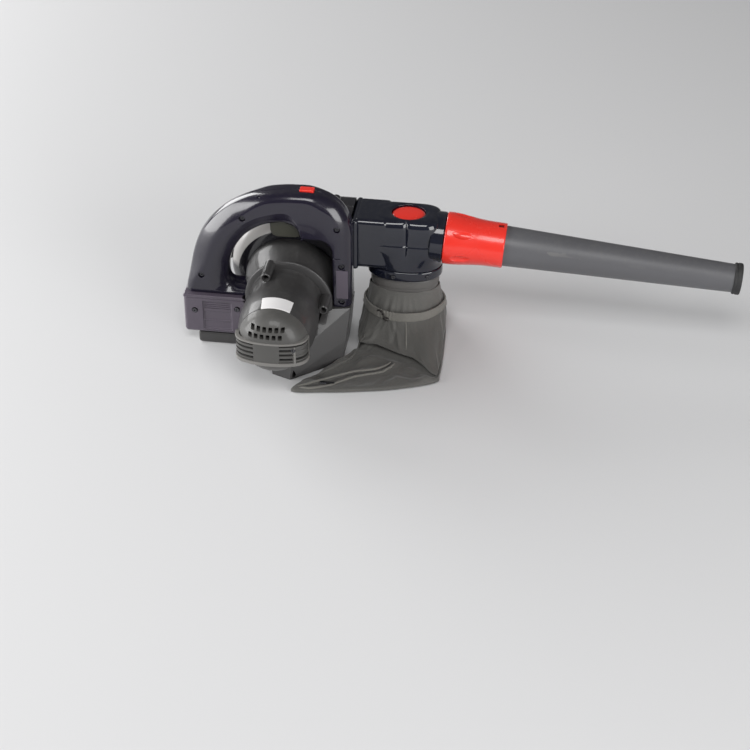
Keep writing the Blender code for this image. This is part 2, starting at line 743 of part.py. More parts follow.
def duct_body():
    rings = [duct_oval(DUCT_R, DUCT_BOTTOM_Z + up, fullness) for up, fullness in DUCT_FOOT]
    rings += [duct_oval(DUCT_R - inset, DUCT_TOP_Z - down, fullness) for down, inset, fullness in DUCT_RIM]
    body = loft("duct_body", rings, NAVY)
    crease_y = DUCT_Y - DUCT_HALF + CREASE_DEPTH - CREASE_R
    crease = Matrix.Translation((CREASE_X, crease_y, 0.0))
    cut(body, duct_scoop())
    cut(body, oval_rod("button_pocket", BUTTON_RX + 0.0004, BUTTON_RY + 0.0004, POCKET_FLOOR_Z, 0.2000, cutter=True))
    cut(body, rod("duct_crease", CREASE_R, DUCT_BOTTOM_Z + 0.022, DUCT_TOP_Z + 0.004, crease, steps=16, cutter=True))
    inlet = box("duct_inlet", (OUTLET_X + 0.003, SCROLL_FRONT_Y + 0.0006, OUTLET_BOTTOM_Z - 0.002),
                (DUCT_X - 0.024, SCROLL_BACK_Y - 0.0006, DUCT_TOP_Z - 0.0008), round_by=0.008, steps=3)
    flange = box("duct_flange", (OUTLET_X + GAP, SCROLL_FRONT_Y - 0.003, OUTLET_BOTTOM_Z - 0.006),
                 (OUTLET_X + 0.010, SCROLL_BACK_Y + 0.003, SCROLL_TOP_Z + 0.001), round_by=0.0040, steps=2)
    port = turned("duct_port", [(0.0, PORT_END), (PORT_R, PORT_END), (PORT_R, PORT_FACE), (PORT_FACE_R, PORT_FACE),
                                (PORT_FACE_R, -0.012), (0.0, -0.012)], None, MEDIUM, along_tube())
    join_all(body, inlet, flange, port)
    roof_z = POCKET_FLOOR_Z - WALL
    hollow = duct_rings(WALL + 0.0015, DUCT_BOTTOM_Z - 0.005, roof_z - 0.006)
    hollow.append(duct_oval(DUCT_R - 0.0120, roof_z, DUCT_RIM[0][2]))
    cut(body, loft("duct_hollow", hollow, cutter=True))
    cut(body, box("inlet_hollow", (OUTLET_X - 0.005, SCROLL_FRONT_Y + WALL + 0.0006, OUTLET_BOTTOM_Z + WALL),
                  (DUCT_X - 0.028, SCROLL_BACK_Y - WALL - 0.0006, SCROLL_TOP_Z - 0.0065 - WALL), round_by=0.007,
                  steps=2, cutter=True))
    cut(body, rod("port_hollow", PORT_R - WALL, -0.055, PORT_END + 0.01, along_tube(), steps=MEDIUM, cutter=True))
    return body


def duct_button():
    frame = Matrix.Translation((BUTTON_X, DUCT_Y, 0.0)) @ Matrix.Diagonal((BUTTON_RX, BUTTON_RY, 1.0, 1.0))
    top = BUTTON_TOP_Z
    profile = [(0.0, top), (0.60, top - 0.0003), (0.88, top - 0.0009), (1.0, top - 0.0022),
               (1.0, top - BUTTON_THICK), (0.0, top - BUTTON_THICK)]
    return turned("duct_button", profile, RED, MEDIUM, frame)


def duct_ring_and_spigot():
    ring_top = DUCT_BOTTOM_Z - GAP
    outer = DUCT_R + 0.0008
    duct_band("duct_ring", [(outer - 0.0015, ring_top), (outer, ring_top - 0.0020), (outer, RING_BOTTOM_Z + 0.0020),
                            (outer - 0.0015, RING_BOTTOM_Z), (SPIGOT_R + GAP, RING_BOTTOM_Z),
                            (SPIGOT_R + GAP, ring_top)], NAVY)
    duct_band("bag_spigot", [(SPIGOT_R, ring_top), (SPIGOT_R, SPIGOT_BOTTOM_Z + 0.0040),
                             (SPIGOT_R - 0.0010, SPIGOT_BOTTOM_Z), (SPIGOT_R - WALL, SPIGOT_BOTTOM_Z),
                             (SPIGOT_R - WALL, ring_top)], BLACK)


# Collar, tube and nozzle ring

def tube_collar():
    outer = [(0.0290, COLLAR_END), (0.0300, COLLAR_END - 0.0015), (0.0303, 0.0780), (0.0305, 0.0620),
             (0.0314, 0.0480), (0.0332, 0.0340), (0.0350, 0.0200), (0.0353, 0.0090), (0.0345, 0.0062),
             (0.0335, COLLAR_START)]
    inner = [(PORT_R + RUNNING, COLLAR_START), (PORT_R + RUNNING, PORT_END + 0.0005), (TUBE_R + GAP, 0.0395),
             (TUBE_R + GAP, COLLAR_END)]
    collar = turned("tube_collar", outer + inner, RED, MEDIUM, along_tube(), closed=True)
    scallops = []
    for n in range(6):
        bpy.ops.mesh.primitive_uv_sphere_add(segments=8, ring_count=6, radius=1.0)
        scallop = bpy.context.object
        turn = radians(60.0 * n + 18.0)
        scallop.matrix_world = along_tube(0.0250) @ Matrix.Rotation(turn, 4, "Z") \
            @ Matrix.Translation((0.0405, 0.0, 0.0)) @ Matrix.Diagonal((0.0075, 0.0105, 0.0160, 1.0))
        link(scallop, None)
        scallops.append(scallop)
    cut(collar, several("collar_scallops", scallops))
    cut(collar, snap_hole("collar_window", 0.0026))
    return collar


SNAP_AT = 0.0785
SNAP_R = 0.0022


def snap_frame():
    """Local Z points radially up out of the tube, at the snap button."""
    return along_tube(SNAP_AT) @ Matrix.Rotation(-pi / 2, 4, "Y")


def snap_hole(name, radius):
    return rod(name, radius, 0.0200, 0.0400, snap_frame(), steps=16, cutter=True)


def blow_tube():
    outer = [(TUBE_END_R, TUBE_END), (TUBE_R - 0.0002, COLLAR_END), (TUBE_R, TUBE_START)]
    inner = [(r - TUBE_WALL, d) for r, d in reversed(outer)]
    tube = turned("blow_tube", outer + inner, GREY, MEDIUM, along_tube(), closed=True)
    cut(tube, snap_hole("tube_hole", SNAP_R + GAP))
    return tube


def snap_button():
    top = 0.0290
    profile = [(0.0, top), (SNAP_R * 0.6, top - 0.0002), (SNAP_R, top - 0.0010), (SNAP_R, 0.0238), (0.0, 0.0238)]
    return turned("snap_button", profile, RUBBER, 16, snap_frame())


def nozzle_ring():
    seat = TUBE_END_R + 0.0003
    profile = [(0.0200, TUBE_END + 0.0024), (0.0212, TUBE_END + 0.0010), (0.0214, TUBE_END - 0.0050),
               (0.0206, TUBE_END - 0.0075), (seat + 0.0002, TUBE_END - 0.0075), (seat, TUBE_END + GAP),
               (TUBE_END_R - TUBE_WALL, TUBE_END + GAP), (TUBE_END_R - TUBE_WALL, TUBE_END + 0.0024)]
    return turned("nozzle_ring", profile, RUBBER, MEDIUM, along_tube(), closed=True)


# Collection bag

BAG_NECK_BOTTOM_Z = 0.0455
BAG_SKIN = 0.003
BAG_CORNERS = ((0.020, -0.124), (0.052, -0.087), (0.084, -0.050), (0.093, -0.020), (0.093, 0.050), (0.095, 0.098),
               (0.140, 0.118), (0.196, 0.108), (0.211, 0.060), (0.213, 0.000), (0.213, -0.062), (0.207, -0.082),
               (0.158, -0.101), (0.110, -0.113), (0.064, -0.121))


def bag_ring(z, inset, tip_drop=0.0):
    """The bag's plan at height z, its corners drawn towards its middle by `inset`."""
    middle_x, middle_y = 0.150, 0.020
    ring = []
    for x, y in BAG_CORNERS:
        reach = sqrt((x - middle_x) ** 2 + (y - middle_y) ** 2)
        share = 1.0 - inset / reach
        fall = tip_drop * max(0.0, (0.110 - x) / 0.090) if y < 0.0 else 0.0
        ring.append((middle_x + (x - middle_x) * share, middle_y + (y - middle_y) * share, z - fall))
    return ring


NECK_WALL = 0.0030
NECK_GRIP_Z = BAG_NECK_TOP_Z - 0.0085


def bag_neck():
    """The sleeve that grips the spigot, flared out to the rim of the cuff."""
    snug = SPIGOT_R + GAP
    wide, deep = CUFF_HALF_X, CUFF_HALF_Y
    inner = [(snug, snug - NARROWER, BAG_NECK_TOP_Z), (snug, snug - NARROWER, NECK_GRIP_Z),
             (wide - NECK_WALL - 0.0010, deep - NECK_WALL - 0.0060, CUFF_Z + 0.0040),
             (wide - NECK_WALL, deep - NECK_WALL, CUFF_Z - 0.0010), (wide - NECK_WALL, deep - NECK_WALL, BAG_NECK_BOTTOM_Z)]
    outer = [(wide, deep, BAG_NECK_BOTTOM_Z), (wide, deep, CUFF_Z), (wide - 0.0015, deep - 0.0045, CUFF_Z + 0.0060),
             (snug + 0.0050, snug - NARROWER + 0.0060, NECK_GRIP_Z),
             (snug + 0.0030, snug - NARROWER + 0.0030, BAG_NECK_TOP_Z)]
    return oval_band("bag_neck", inner + outer, FABRIC)


# The fold where the upper part of the bag hangs over the part that lies on the ground, point for point
BAG_FOLD = ((0.101, -0.020), (0.098, -0.019), (0.095, -0.014), (0.092, 0.006), (0.092, 0.050), (0.096, 0.092),
            (0.140, 0.110), (0.194, 0.102), (0.209, 0.060), (0.211, 0.000), (0.210, -0.048), (0.205, -0.070),
            (0.176, -0.058), (0.146, -0.042), (0.116, -0.027))

# Directions from the duct's middle, in degrees, of the corners where the bag closes in round the cuff
BAG_TOP_TURNS = (-126.0, -136.0, -148.0, -163.0, -181.0, -218.0, -262.0, -308.0, -352.0, -379.0, -403.0, -421.0,
                 -439.0, -456.0, -471.0)


def bag_top_ring(z, half_x, half_y):
    """The bag's plan where it closes in round the cuff, with as many points as its corners."""
    ring = []
    for turn in BAG_TOP_TURNS:
        across, along = cos(radians(turn)), sin(radians(turn))
        reach = 1.0 / sqrt((across / half_x) ** 2 + (along / half_y) ** 2)
        ring.append((DUCT_X + across * reach, DUCT_Y + along * reach, z))
    return ring


def bag_fold_ring(z, outwards):
    """The plan of the overhanging fold at height z, its points moved away from the duct's middle."""
    ring = []
    for x, y in BAG_FOLD:
        across, along = x - DUCT_X, y - DUCT_Y
        share = 1.0 + outwards / sqrt(across**2 + along**2)
        ring.append((DUCT_X + across * share, DUCT_Y + along * share, z))
    return ring


def bag_body():
    top = BAG_NECK_BOTTOM_Z - GAP
    skin = BAG_SKIN
    rings = [bag_ring(0.0, 0.004), bag_ring(0.005, 0.0), bag_ring(0.009, 0.003), bag_fold_ring(0.012, -0.001),
             bag_fold_ring(0.018, 0.0015), bag_fold_ring(0.026, 0.0), bag_top_ring(0.039, CUFF_HALF_X + 0.002, 0.056),
             bag_top_ring(top, CUFF_HALF_X, CUFF_HALF_Y + 0.001)]
    body = loft("bag_body", rings, FABRIC)
    inside = [bag_ring(skin, 0.004 + skin), bag_ring(0.0045, 0.001 + skin), bag_ring(0.0060, 0.004 + skin),
              bag_fold_ring(0.0085, -0.005), bag_fold_ring(0.018, -0.0015 - skin), bag_fold_ring(0.025, -0.003 - skin),
              bag_top_ring(0.037, CUFF_HALF_X - 0.003, 0.051),
              bag_top_ring(top - skin, CUFF_HALF_X - 0.007, CUFF_HALF_Y - 0.006)]
    cut(body, loft("bag_inside", inside, cutter=True))
    mouth = [oval(CUFF_HALF_X - 0.0080, CUFF_HALF_Y - 0.0080, z) for z in (0.030, top + 0.010)]
    cut(body, loft("bag_mouth", mouth, cutter=True))
    return body


# Battery dock and battery

DOCK_BACK_Y = HANDLE_HALF - 0.0005
DOCK_CAVITY_TOP_Z = 0.0750
DOCK_SCREWS = ((-0.1265, 0.0540), (-0.0680, 0.0600))
DOCK_RIBS = 9
BATTERY_TOP_Z = 0.0660
BASE_TOP_Z = DOCK_BOTTOM_Z - RUNNING
BASE_FRONT_Y = -0.0265
BASE_BACK_Y = 0.0185
SHOE_LEFT_X = DOCK_LEFT_X + DOCK_WALL + RUNNING
SHOE_RIGHT_X = -0.0650
SHOE_FRONT_Y = DOCK_FRONT_Y + DOCK_WALL + RUNNING
SHOE_BACK_Y = DOCK_BACK_Y - DOCK_WALL - RUNNING


def battery_dock(space):
    dock = box("battery_dock", (DOCK_LEFT_X, DOCK_FRONT_Y, DOCK_BOTTOM_Z), (DOCK_RIGHT_X, DOCK_BACK_Y, DOCK_TOP_Z), NAVY,
               round_by=DOCK_ROUND, steps=3)
    cut(dock, box("dock_cavity", (SHOE_LEFT_X - RUNNING, SHOE_FRONT_Y - RUNNING, DOCK_BOTTOM_Z - 0.005),
                  (SHOE_RIGHT_X + RUNNING, SHOE_BACK_Y + RUNNING, DOCK_CAVITY_TOP_Z), cutter=True))
    cut(dock, space)
    grooves = []
    for n in range(DOCK_RIBS):
        x = -0.1155 + n * 0.0045
        grooves.append(box("groove", (x, DOCK_FRONT_Y - 0.002, 0.0270), (x + 0.0030, DOCK_FRONT_Y + 0.0012, 0.0620)))
    cut(dock, several("dock_grooves", grooves))
    bores = [rod("bore", SCREW_BORE_R, DOCK_FRONT_Y - 0.005, DOCK_FRONT_Y + 0.0018, along_y(x, z), steps=10)
             for x, z in DOCK_SCREWS]
    cut(dock, several("dock_bores", bores))
    return dock


def dock_screws():
    frames = [along_y(x, z, DOCK_FRONT_Y + 0.0018 - GAP) for x, z in DOCK_SCREWS]
    screw_set("dock_screw", frames, SCREW_BORE_R - 0.0005, 0.0022)


def terminal_block():
    """Carries the battery's contacts, under the dock's ceiling."""
    block = box("terminal_block", (-0.1120, -0.0140, BATTERY_TOP_Z + RUNNING), (-0.0780, 0.0060, DOCK_CAVITY_TOP_Z - GAP),
                BLACK)
    slots = [box("slot", (-0.1120 + 0.0045 + n * 0.0075, -0.0100, BATTERY_TOP_Z - 0.002),
                 (-0.1120 + 0.0060 + n * 0.0075, 0.0020, BATTERY_TOP_Z + 0.005)) for n in range(4)]
    return cut(block, several("terminal_slots", slots))


LATCH_LOW = (BASE_LEFT_X - 0.0008, -0.0120, 0.0040)
LATCH_HIGH = (BASE_LEFT_X + 0.0070, 0.0040, 0.0130)
LATCH_TRAVEL = 0.002


def battery_pack():
    pack = box("battery_pack", (BASE_LEFT_X, BASE_FRONT_Y, 0.0), (BASE_RIGHT_X, BASE_BACK_Y, BASE_TOP_Z), BLACK,
               round_by=0.004, steps=2)
    shoe = box("battery_shoe", (SHOE_LEFT_X, SHOE_FRONT_Y, BASE_TOP_Z - 0.0), (SHOE_RIGHT_X, SHOE_BACK_Y, BATTERY_TOP_Z),
               round_by=0.003, steps=2)
    neck = box("battery_neck", (BASE_LEFT_X + 0.006, BASE_FRONT_Y + 0.006, BASE_TOP_Z - 0.006),
               (BASE_RIGHT_X - 0.006, BASE_BACK_Y - 0.006, BASE_TOP_Z + 0.010))
    join_all(pack, neck, shoe)
    cut(pack, box("latch_pocket", (LATCH_LOW[0] - 0.004, LATCH_LOW[1] - GAP, LATCH_LOW[2] - GAP),
                  (LATCH_HIGH[0] + LATCH_TRAVEL + RUNNING, LATCH_HIGH[1] + GAP, LATCH_HIGH[2] + GAP), cutter=True))
    return pack


def battery_latch():
    return box("battery_latch", LATCH_LOW, LATCH_HIGH, RUBBER, round_by=0.0008, steps=2)


# Trigger, switch and lock button

TRIGGER_PIVOT = (PANEL_LEFT_X - 0.0080, GRIP_TOP_Z - 0.0420)
TRIGGER_HALF = 0.0080
TRIGGER_MIDDLE = (-0.003, 0.055)
TRIGGER_OUTLINE = ((-0.0215, 0.0400), (-0.0235, 0.0520), (-0.0232, 0.0620), (-0.0200, 0.0685), (-0.0130, 0.0708),
                   (-0.0020, 0.0708), (0.0100, 0.0702), (0.0158, 0.0685), (0.0165, 0.0640), (0.0160, 0.0420),
                   (0.0120, 0.0385), (0.0040, 0.0390))


def trigger():
    """The trigger lever with its pin; its outline is given from the top of the grip downwards."""
    rings = []
    for y, inset in ((-TRIGGER_HALF, 0.0015), (-TRIGGER_HALF + 0.0015, 0.0), (TRIGGER_HALF - 0.0015, 0.0),
                     (TRIGGER_HALF, 0.0015)):
        ring = []
        for x, below in TRIGGER_OUTLINE:
            to_x, to_below = TRIGGER_MIDDLE[0] - x, TRIGGER_MIDDLE[1] - below
            reach = sqrt(to_x**2 + to_below**2)
            ring.append((x + to_x / reach * inset, y, GRIP_TOP_Z - below - to_below / reach * inset))
        rings.append(ring)
    lever = loft("trigger", rings, BLACK)
    pivot = along_y(*TRIGGER_PIVOT)
    join_all(lever, rod("trigger_pin", 0.0022, GAP - HANDLE_CAVITY, HANDLE_CAVITY - GAP, pivot, steps=16))
    return lever


def trigger_slot():
    half = TRIGGER_HALF + RUNNING
    return box("trigger_slot", (-0.0290, -half, GRIP_TOP_Z - 0.0720), (PANEL_LEFT_X - 0.0028, half, GRIP_TOP_Z - 0.0370),
               cutter=True)


def switch_unit():
    half = HANDLE_CAVITY - GAP
    return box("switch_unit", (-0.0360, -half, GRIP_TOP_Z - 0.0300), (-0.0020, half, GRIP_TOP_Z - 0.0090), BLACK,
               round_by=0.001, steps=1)


LOCK_LEFT_X = 0.0170
LOCK_LENGTH = 0.0190
LOCK_HALF = 0.0055
LOCK_PROUD = 0.0022
LOCK_LIP_Z = GRIP_TOP_Z - 0.0060
LOCK_LIP_THICK = 0.0020


def lock_button():
    right_x, top_z = LOCK_LEFT_X + LOCK_LENGTH, GRIP_TOP_Z + LOCK_PROUD
    low_z = LOCK_LIP_Z - LOCK_LIP_THICK - 0.0008
    button = box("lock_button", (LOCK_LEFT_X, -LOCK_HALF, low_z), (right_x, LOCK_HALF, top_z), RED,
                 round_by=0.0012, steps=2)
    lip = box("lock_lip", (LOCK_LEFT_X - 0.0015, -LOCK_HALF - 0.0015, LOCK_LIP_Z - LOCK_LIP_THICK),
              (right_x + 0.0015, LOCK_HALF + 0.0015, LOCK_LIP_Z))
    return join_all(button, lip)


def lock_slot():
    half = LOCK_HALF + GAP
    return box("lock_slot", (LOCK_LEFT_X - GAP, -half, GRIP_TOP_Z - 0.0130),
               (LOCK_LEFT_X + LOCK_LENGTH + GAP, half, GRIP_TOP_Z + 0.0120), round_by=0.0012, steps=2, cutter=True)


# Foot under the motor

FOOT_TOP_Z = COLUMN_BOTTOM_Z - GAP
FOOT_RINGS = ((0.0, ((-0.011, -0.087), (0.015, -0.097), (0.078, -0.046), (0.078, 0.018), (-0.011, 0.018))),
              (0.030, ((-0.018, -0.076), (0.018, -0.084), (0.082, -0.036), (0.082, 0.020), (-0.018, 0.020))),
              (FOOT_TOP_Z, ((-0.030, -0.034), (0.030, -0.034), (0.0855, -0.021), (0.0855, 0.0205), (-0.030, 0.0205))))
FOOT_WALL = 0.003


def foot_ring(z, corners, inset):
    middle_x, middle_y = 0.036, -0.030
    return [(x + (inset if x < middle_x else -inset), y + (inset if y < middle_y else -inset), z) for x, y in corners]


def base_foot(space):
    foot = loft("base_foot", [foot_ring(z, corners, 0.0) for z, corners in FOOT_RINGS], BLACK)
    heights = (FOOT_WALL, 0.030, FOOT_TOP_Z - FOOT_WALL)
    inside = [foot_ring(height, corners, FOOT_WALL) for height, (z, corners) in zip(heights, FOOT_RINGS)]
    cut(foot, loft("foot_inside", inside, cutter=True))
    cut(foot, space)
    return foot


# Assembly

LUG_R = 0.0062
LUG_OUT = 0.0052
LUG_DEPTH = 0.010


def scroll_screw_places():
    places = []
    for angle in (-60.0, -130.0, -190.0):
        r = scroll_radius(SCROLL_TONGUE_ANGLE - angle) + LUG_OUT
        places.append((r * cos(radians(angle)), SHAFT_Z + r * sin(radians(angle))))
    places.append((0.0550, SCROLL_TOP_Z + LUG_OUT))
    return places


def scroll():
    front = scroll_half("scroll_front", -1, 0.020)
    back = scroll_half("scroll_back", 1, INTAKE_R)
    seats = []
    for x, z in scroll_screw_places():
        frame = along_y(x, z)
        join_all(front, rod("front_lug", LUG_R, DUCT_Y - LUG_DEPTH, DUCT_Y - GAP / 2, frame, steps=12))
        join_all(back, rod("back_lug", LUG_R, DUCT_Y + GAP / 2, DUCT_Y + LUG_DEPTH, frame, steps=12))
        seats.append(along_y(x, z, DUCT_Y + LUG_DEPTH + GAP) @ Matrix.Rotation(pi, 4, "X"))
    screw_set("scroll_screw", seats, 0.0036, 0.003)


RING_SCREW_TURNS = (-51.0, -102.0, 90.0)


def ring_screws():
    """Heads of the screws that hold the ring under the duct, seated on its side."""
    middle_z = (DUCT_BOTTOM_Z + RING_BOTTOM_Z) / 2
    half_x, half_y = DUCT_R + 0.0008, DUCT_HALF + 0.0008
    frames = []
    for turn in RING_SCREW_TURNS:
        across = copysign(abs(cos(radians(turn))) ** (2.0 / OVAL_FULLNESS), cos(radians(turn)))
        along = copysign(abs(sin(radians(turn))) ** (2.0 / OVAL_FULLNESS), sin(radians(turn)))
        facing = atan2(along / half_y, across / half_x)
        inward = Matrix.Rotation(facing, 4, "Z") @ Matrix.Rotation(-pi / 2, 4, "Y")
        frames.append(Matrix.Translation((DUCT_X + (half_x + GAP) * across, DUCT_Y + (half_y + GAP) * along, middle_z))
                      @ inward)
    screw_set("ring_screw", frames, 0.0034, 0.0018)


def assemble():
    space = barrel_cutter()
    front = handle_shell("handle_front", -1)
    rear = handle_shell("handle_rear", 1)
    slots = (space, trigger_slot(), lock_slot())
    cut(front, *slots, screw_bores())
    cut(rear, *slots)
    handle_screws()
    trigger()
    switch_unit()
    lock_button()
    motor_housing()
    tower_screws()
    motor_end_cap()
    cap_screw()
    motor_inside()
    impeller()
    impeller_nut()
    scroll()
    intake_guard()
    duct_body()
    duct_button()
    duct_ring_and_spigot()
    ring_screws()
    tube_collar()
    blow_tube()
    snap_button()
    nozzle_ring()
    bag_neck()
    bag_body()
    battery_dock(space)
    dock_screws()
    terminal_block()
    battery_pack()
    battery_latch()
    base_foot(space)


assemble()
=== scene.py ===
"""A cordless leaf blower and vacuum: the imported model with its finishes, its cloth dust bag and its fine trim."""

import json
from math import atan2, cos, degrees, exp, pi, radians, sin, sqrt, tau

import bmesh
import bpy
from mathutils import Matrix, Vector, noise

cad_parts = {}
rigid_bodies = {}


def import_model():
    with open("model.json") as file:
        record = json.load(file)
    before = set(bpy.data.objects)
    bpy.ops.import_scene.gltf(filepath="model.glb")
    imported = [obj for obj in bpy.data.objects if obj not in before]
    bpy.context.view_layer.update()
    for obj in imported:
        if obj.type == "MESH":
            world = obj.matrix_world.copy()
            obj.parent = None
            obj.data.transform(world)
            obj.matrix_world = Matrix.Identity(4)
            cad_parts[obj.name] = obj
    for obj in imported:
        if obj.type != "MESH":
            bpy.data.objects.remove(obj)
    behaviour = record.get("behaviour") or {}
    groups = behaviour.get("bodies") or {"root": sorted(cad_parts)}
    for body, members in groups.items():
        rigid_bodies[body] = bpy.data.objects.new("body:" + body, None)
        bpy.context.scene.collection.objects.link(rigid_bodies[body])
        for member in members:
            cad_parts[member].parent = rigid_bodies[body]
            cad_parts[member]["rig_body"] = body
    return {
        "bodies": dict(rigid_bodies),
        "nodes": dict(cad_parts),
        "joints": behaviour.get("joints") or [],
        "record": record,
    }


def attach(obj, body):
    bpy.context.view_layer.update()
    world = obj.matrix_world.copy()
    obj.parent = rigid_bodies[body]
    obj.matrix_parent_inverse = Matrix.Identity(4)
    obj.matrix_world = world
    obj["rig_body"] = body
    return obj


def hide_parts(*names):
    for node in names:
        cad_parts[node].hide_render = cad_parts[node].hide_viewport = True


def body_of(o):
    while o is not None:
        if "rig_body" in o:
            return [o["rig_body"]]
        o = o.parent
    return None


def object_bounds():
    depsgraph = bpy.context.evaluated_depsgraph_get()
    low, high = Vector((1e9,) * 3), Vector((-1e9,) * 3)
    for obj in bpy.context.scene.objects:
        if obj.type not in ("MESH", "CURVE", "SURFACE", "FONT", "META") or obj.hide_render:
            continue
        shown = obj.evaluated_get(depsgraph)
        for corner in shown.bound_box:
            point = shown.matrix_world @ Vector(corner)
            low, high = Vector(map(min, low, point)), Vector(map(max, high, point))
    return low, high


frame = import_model()
cad_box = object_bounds()
nodes = frame["nodes"]


def set_camera():
    """Stands the camera where the photograph was taken from."""
    bpy.ops.object.camera_add(location=(0.42735, -2.21627, 1.57491), rotation=(radians(54), 0, radians(8)))
    camera = bpy.context.object
    camera.name = "front_camera"
    camera.data.sensor_width = 36
    camera.data.lens = 96
    camera.data.clip_end = 30
    bpy.context.scene.camera = camera


def softbox(name, place, aim, width, height, power):
    """One soft lamp, turned to face the place it lights."""
    bpy.ops.object.light_add(type="AREA", location=place)
    lamp = bpy.context.object
    lamp.name = name
    lamp.data.shape = "RECTANGLE"
    lamp.data.size = width
    lamp.data.size_y = height
    lamp.data.energy = power
    lamp.rotation_euler = (Vector(aim) - Vector(place)).to_track_quat("-Z", "Y").to_euler()


def light_studio():
    softbox("left_softbox", (-2.80, -0.75, 0.96), (0.0, -0.05, 0.60), 2.50, 1.90, 102)
    softbox("back_left_softbox", (-2.35, 1.95, 1.20), (0.0, 0.0, 0.12), 2.00, 1.50, 62)
    softbox("right_softbox", (2.25, -2.00, 1.00), (0.1, 0.0, 0.60), 1.70, 1.90, 54)
    softbox("high_front_softbox", (0.16, -1.85, 2.75), (0.1, 0.0, 0.12), 1.70, 1.10, 38)
    world = bpy.data.worlds.new("pale_studio")
    bpy.context.scene.world = world
    world.use_nodes = True
    background = world.node_tree.nodes["Background"]
    background.inputs["Color"].default_value = (0.80, 0.80, 0.81, 1)
    background.inputs["Strength"].default_value = 0.17
    bpy.context.scene.view_settings.view_transform = "Standard"


class Tree:
    """A material or a node group being wired: each call adds one node and joins what is given to its inputs."""

    def __init__(self, tree):
        self.tree = tree
        self.across = 0

    def add(self, kind, **settings):
        node = self.tree.nodes.new(kind)
        node.location = (self.across, -120 * (len(self.tree.nodes) % 5))
        self.across += 190
        inputs = settings.pop("inputs", {})
        for key, value in settings.items():
            setattr(node, key, value)
        for key, value in inputs.items():
            if isinstance(value, bpy.types.NodeSocket):
                self.tree.links.new(value, node.inputs[key])
            else:
                node.inputs[key].default_value = value
        return node

    def maths(self, operation, first, second=0.0):
        return self.add("ShaderNodeMath", operation=operation, inputs={0: first, 1: second}).outputs[0]

    def blend_colour(self, amount, first, second):
        mix = self.add("ShaderNodeMix", data_type="RGBA", inputs={"Factor": amount, 6: first, 7: second})
        return mix.outputs[2]

    def spread(self, value, low, high, to_low=0.0, to_high=1.0):
        levels = {"Value": value, "From Min": low, "From Max": high, "To Min": to_low, "To Max": to_high}
        return self.add("ShaderNodeMapRange", inputs=levels).outputs[0]


def colour(red, green, blue):
    """A screen colour out of 255, as the linear colour that a shader takes."""
    linear = [((c / 255 + 0.055) / 1.055) ** 2.4 if c > 10 else c / 255 / 12.92 for c in (red, green, blue)]
    return (*linear, 1.0)


def new_group(name, inputs, outputs):
    """An empty shader group with named sockets, and the helper that wires it."""
    group = bpy.data.node_groups.new(name, "ShaderNodeTree")
    for label, kind, value in inputs:
        socket = group.interface.new_socket(label, in_out="INPUT", socket_type=kind)
        if value is not None:
            socket.default_value = value
    for label, kind in outputs:
        group.interface.new_socket(label, in_out="OUTPUT", socket_type=kind)
    tree = Tree(group)
    return group, tree, tree.add("NodeGroupInput").outputs


def mould_grain_group():
    """Fine pebbling left by a mould, with slow changes of tone over the whole piece."""
    group, tree, given = new_group(
        "mould_grain",
        [("Grain Size", "NodeSocketFloat", 900.0), ("Mottle Size", "NodeSocketFloat", 9.0)],
        [("Height", "NodeSocketFloat"), ("Mottle", "NodeSocketFloat")],
    )
    place = tree.add("ShaderNodeTexCoord").outputs["Object"]
    pebbles = tree.add("ShaderNodeTexVoronoi", inputs={"Vector": place, "Scale": given["Grain Size"]})
    ripple = tree.add("ShaderNodeTexNoise", inputs={"Vector": place, "Scale": given["Grain Size"], "Detail": 2.0})
    height = tree.maths("ADD", pebbles.outputs["Distance"], ripple.outputs[0])
    cloud = tree.add("ShaderNodeTexNoise", inputs={"Vector": place, "Scale": given["Mottle Size"], "Detail": 4.0})
    mottle = tree.spread(cloud.outputs[0], 0.3, 0.7)
    tree.add("NodeGroupOutput", inputs={"Height": height, "Mottle": mottle})
    return group


def scuff_group():
    """Thin handling scratches, and soft rubbed patches."""
    group, tree, given = new_group(
        "scuffs",
        [("Scratch Size", "NodeSocketFloat", 26.0), ("Amount", "NodeSocketFloat", 0.5)],
        [("Scratches", "NodeSocketFloat"), ("Rubbed", "NodeSocketFloat")],
    )
    place = tree.add("ShaderNodeTexCoord").outputs["Object"]
    turned = tree.add("ShaderNodeMapping", inputs={"Vector": place})
    turned.inputs["Rotation"].default_value = (0.5, 0.3, 0.7)
    turned.inputs["Scale"].default_value = (1.0, 9.0, 1.0)
    lines = tree.add("ShaderNodeTexNoise", inputs={"Vector": turned.outputs[0], "Scale": given["Scratch Size"],
                                                   "Detail": 5.0, "Distortion": 0.6})
    thin = tree.spread(lines.outputs[0], 0.655, 0.69)
    patches = tree.add("ShaderNodeTexNoise", inputs={"Vector": place, "Scale": 14.0, "Detail": 3.0})
    where = tree.spread(patches.outputs[0], 0.48, 0.72)
    scratches = tree.maths("MULTIPLY", tree.maths("MULTIPLY", thin, where), given["Amount"])
    rubbed = tree.maths("MULTIPLY", where, given["Amount"])
    tree.add("NodeGroupOutput", inputs={"Scratches": scratches, "Rubbed": rubbed})
    return group


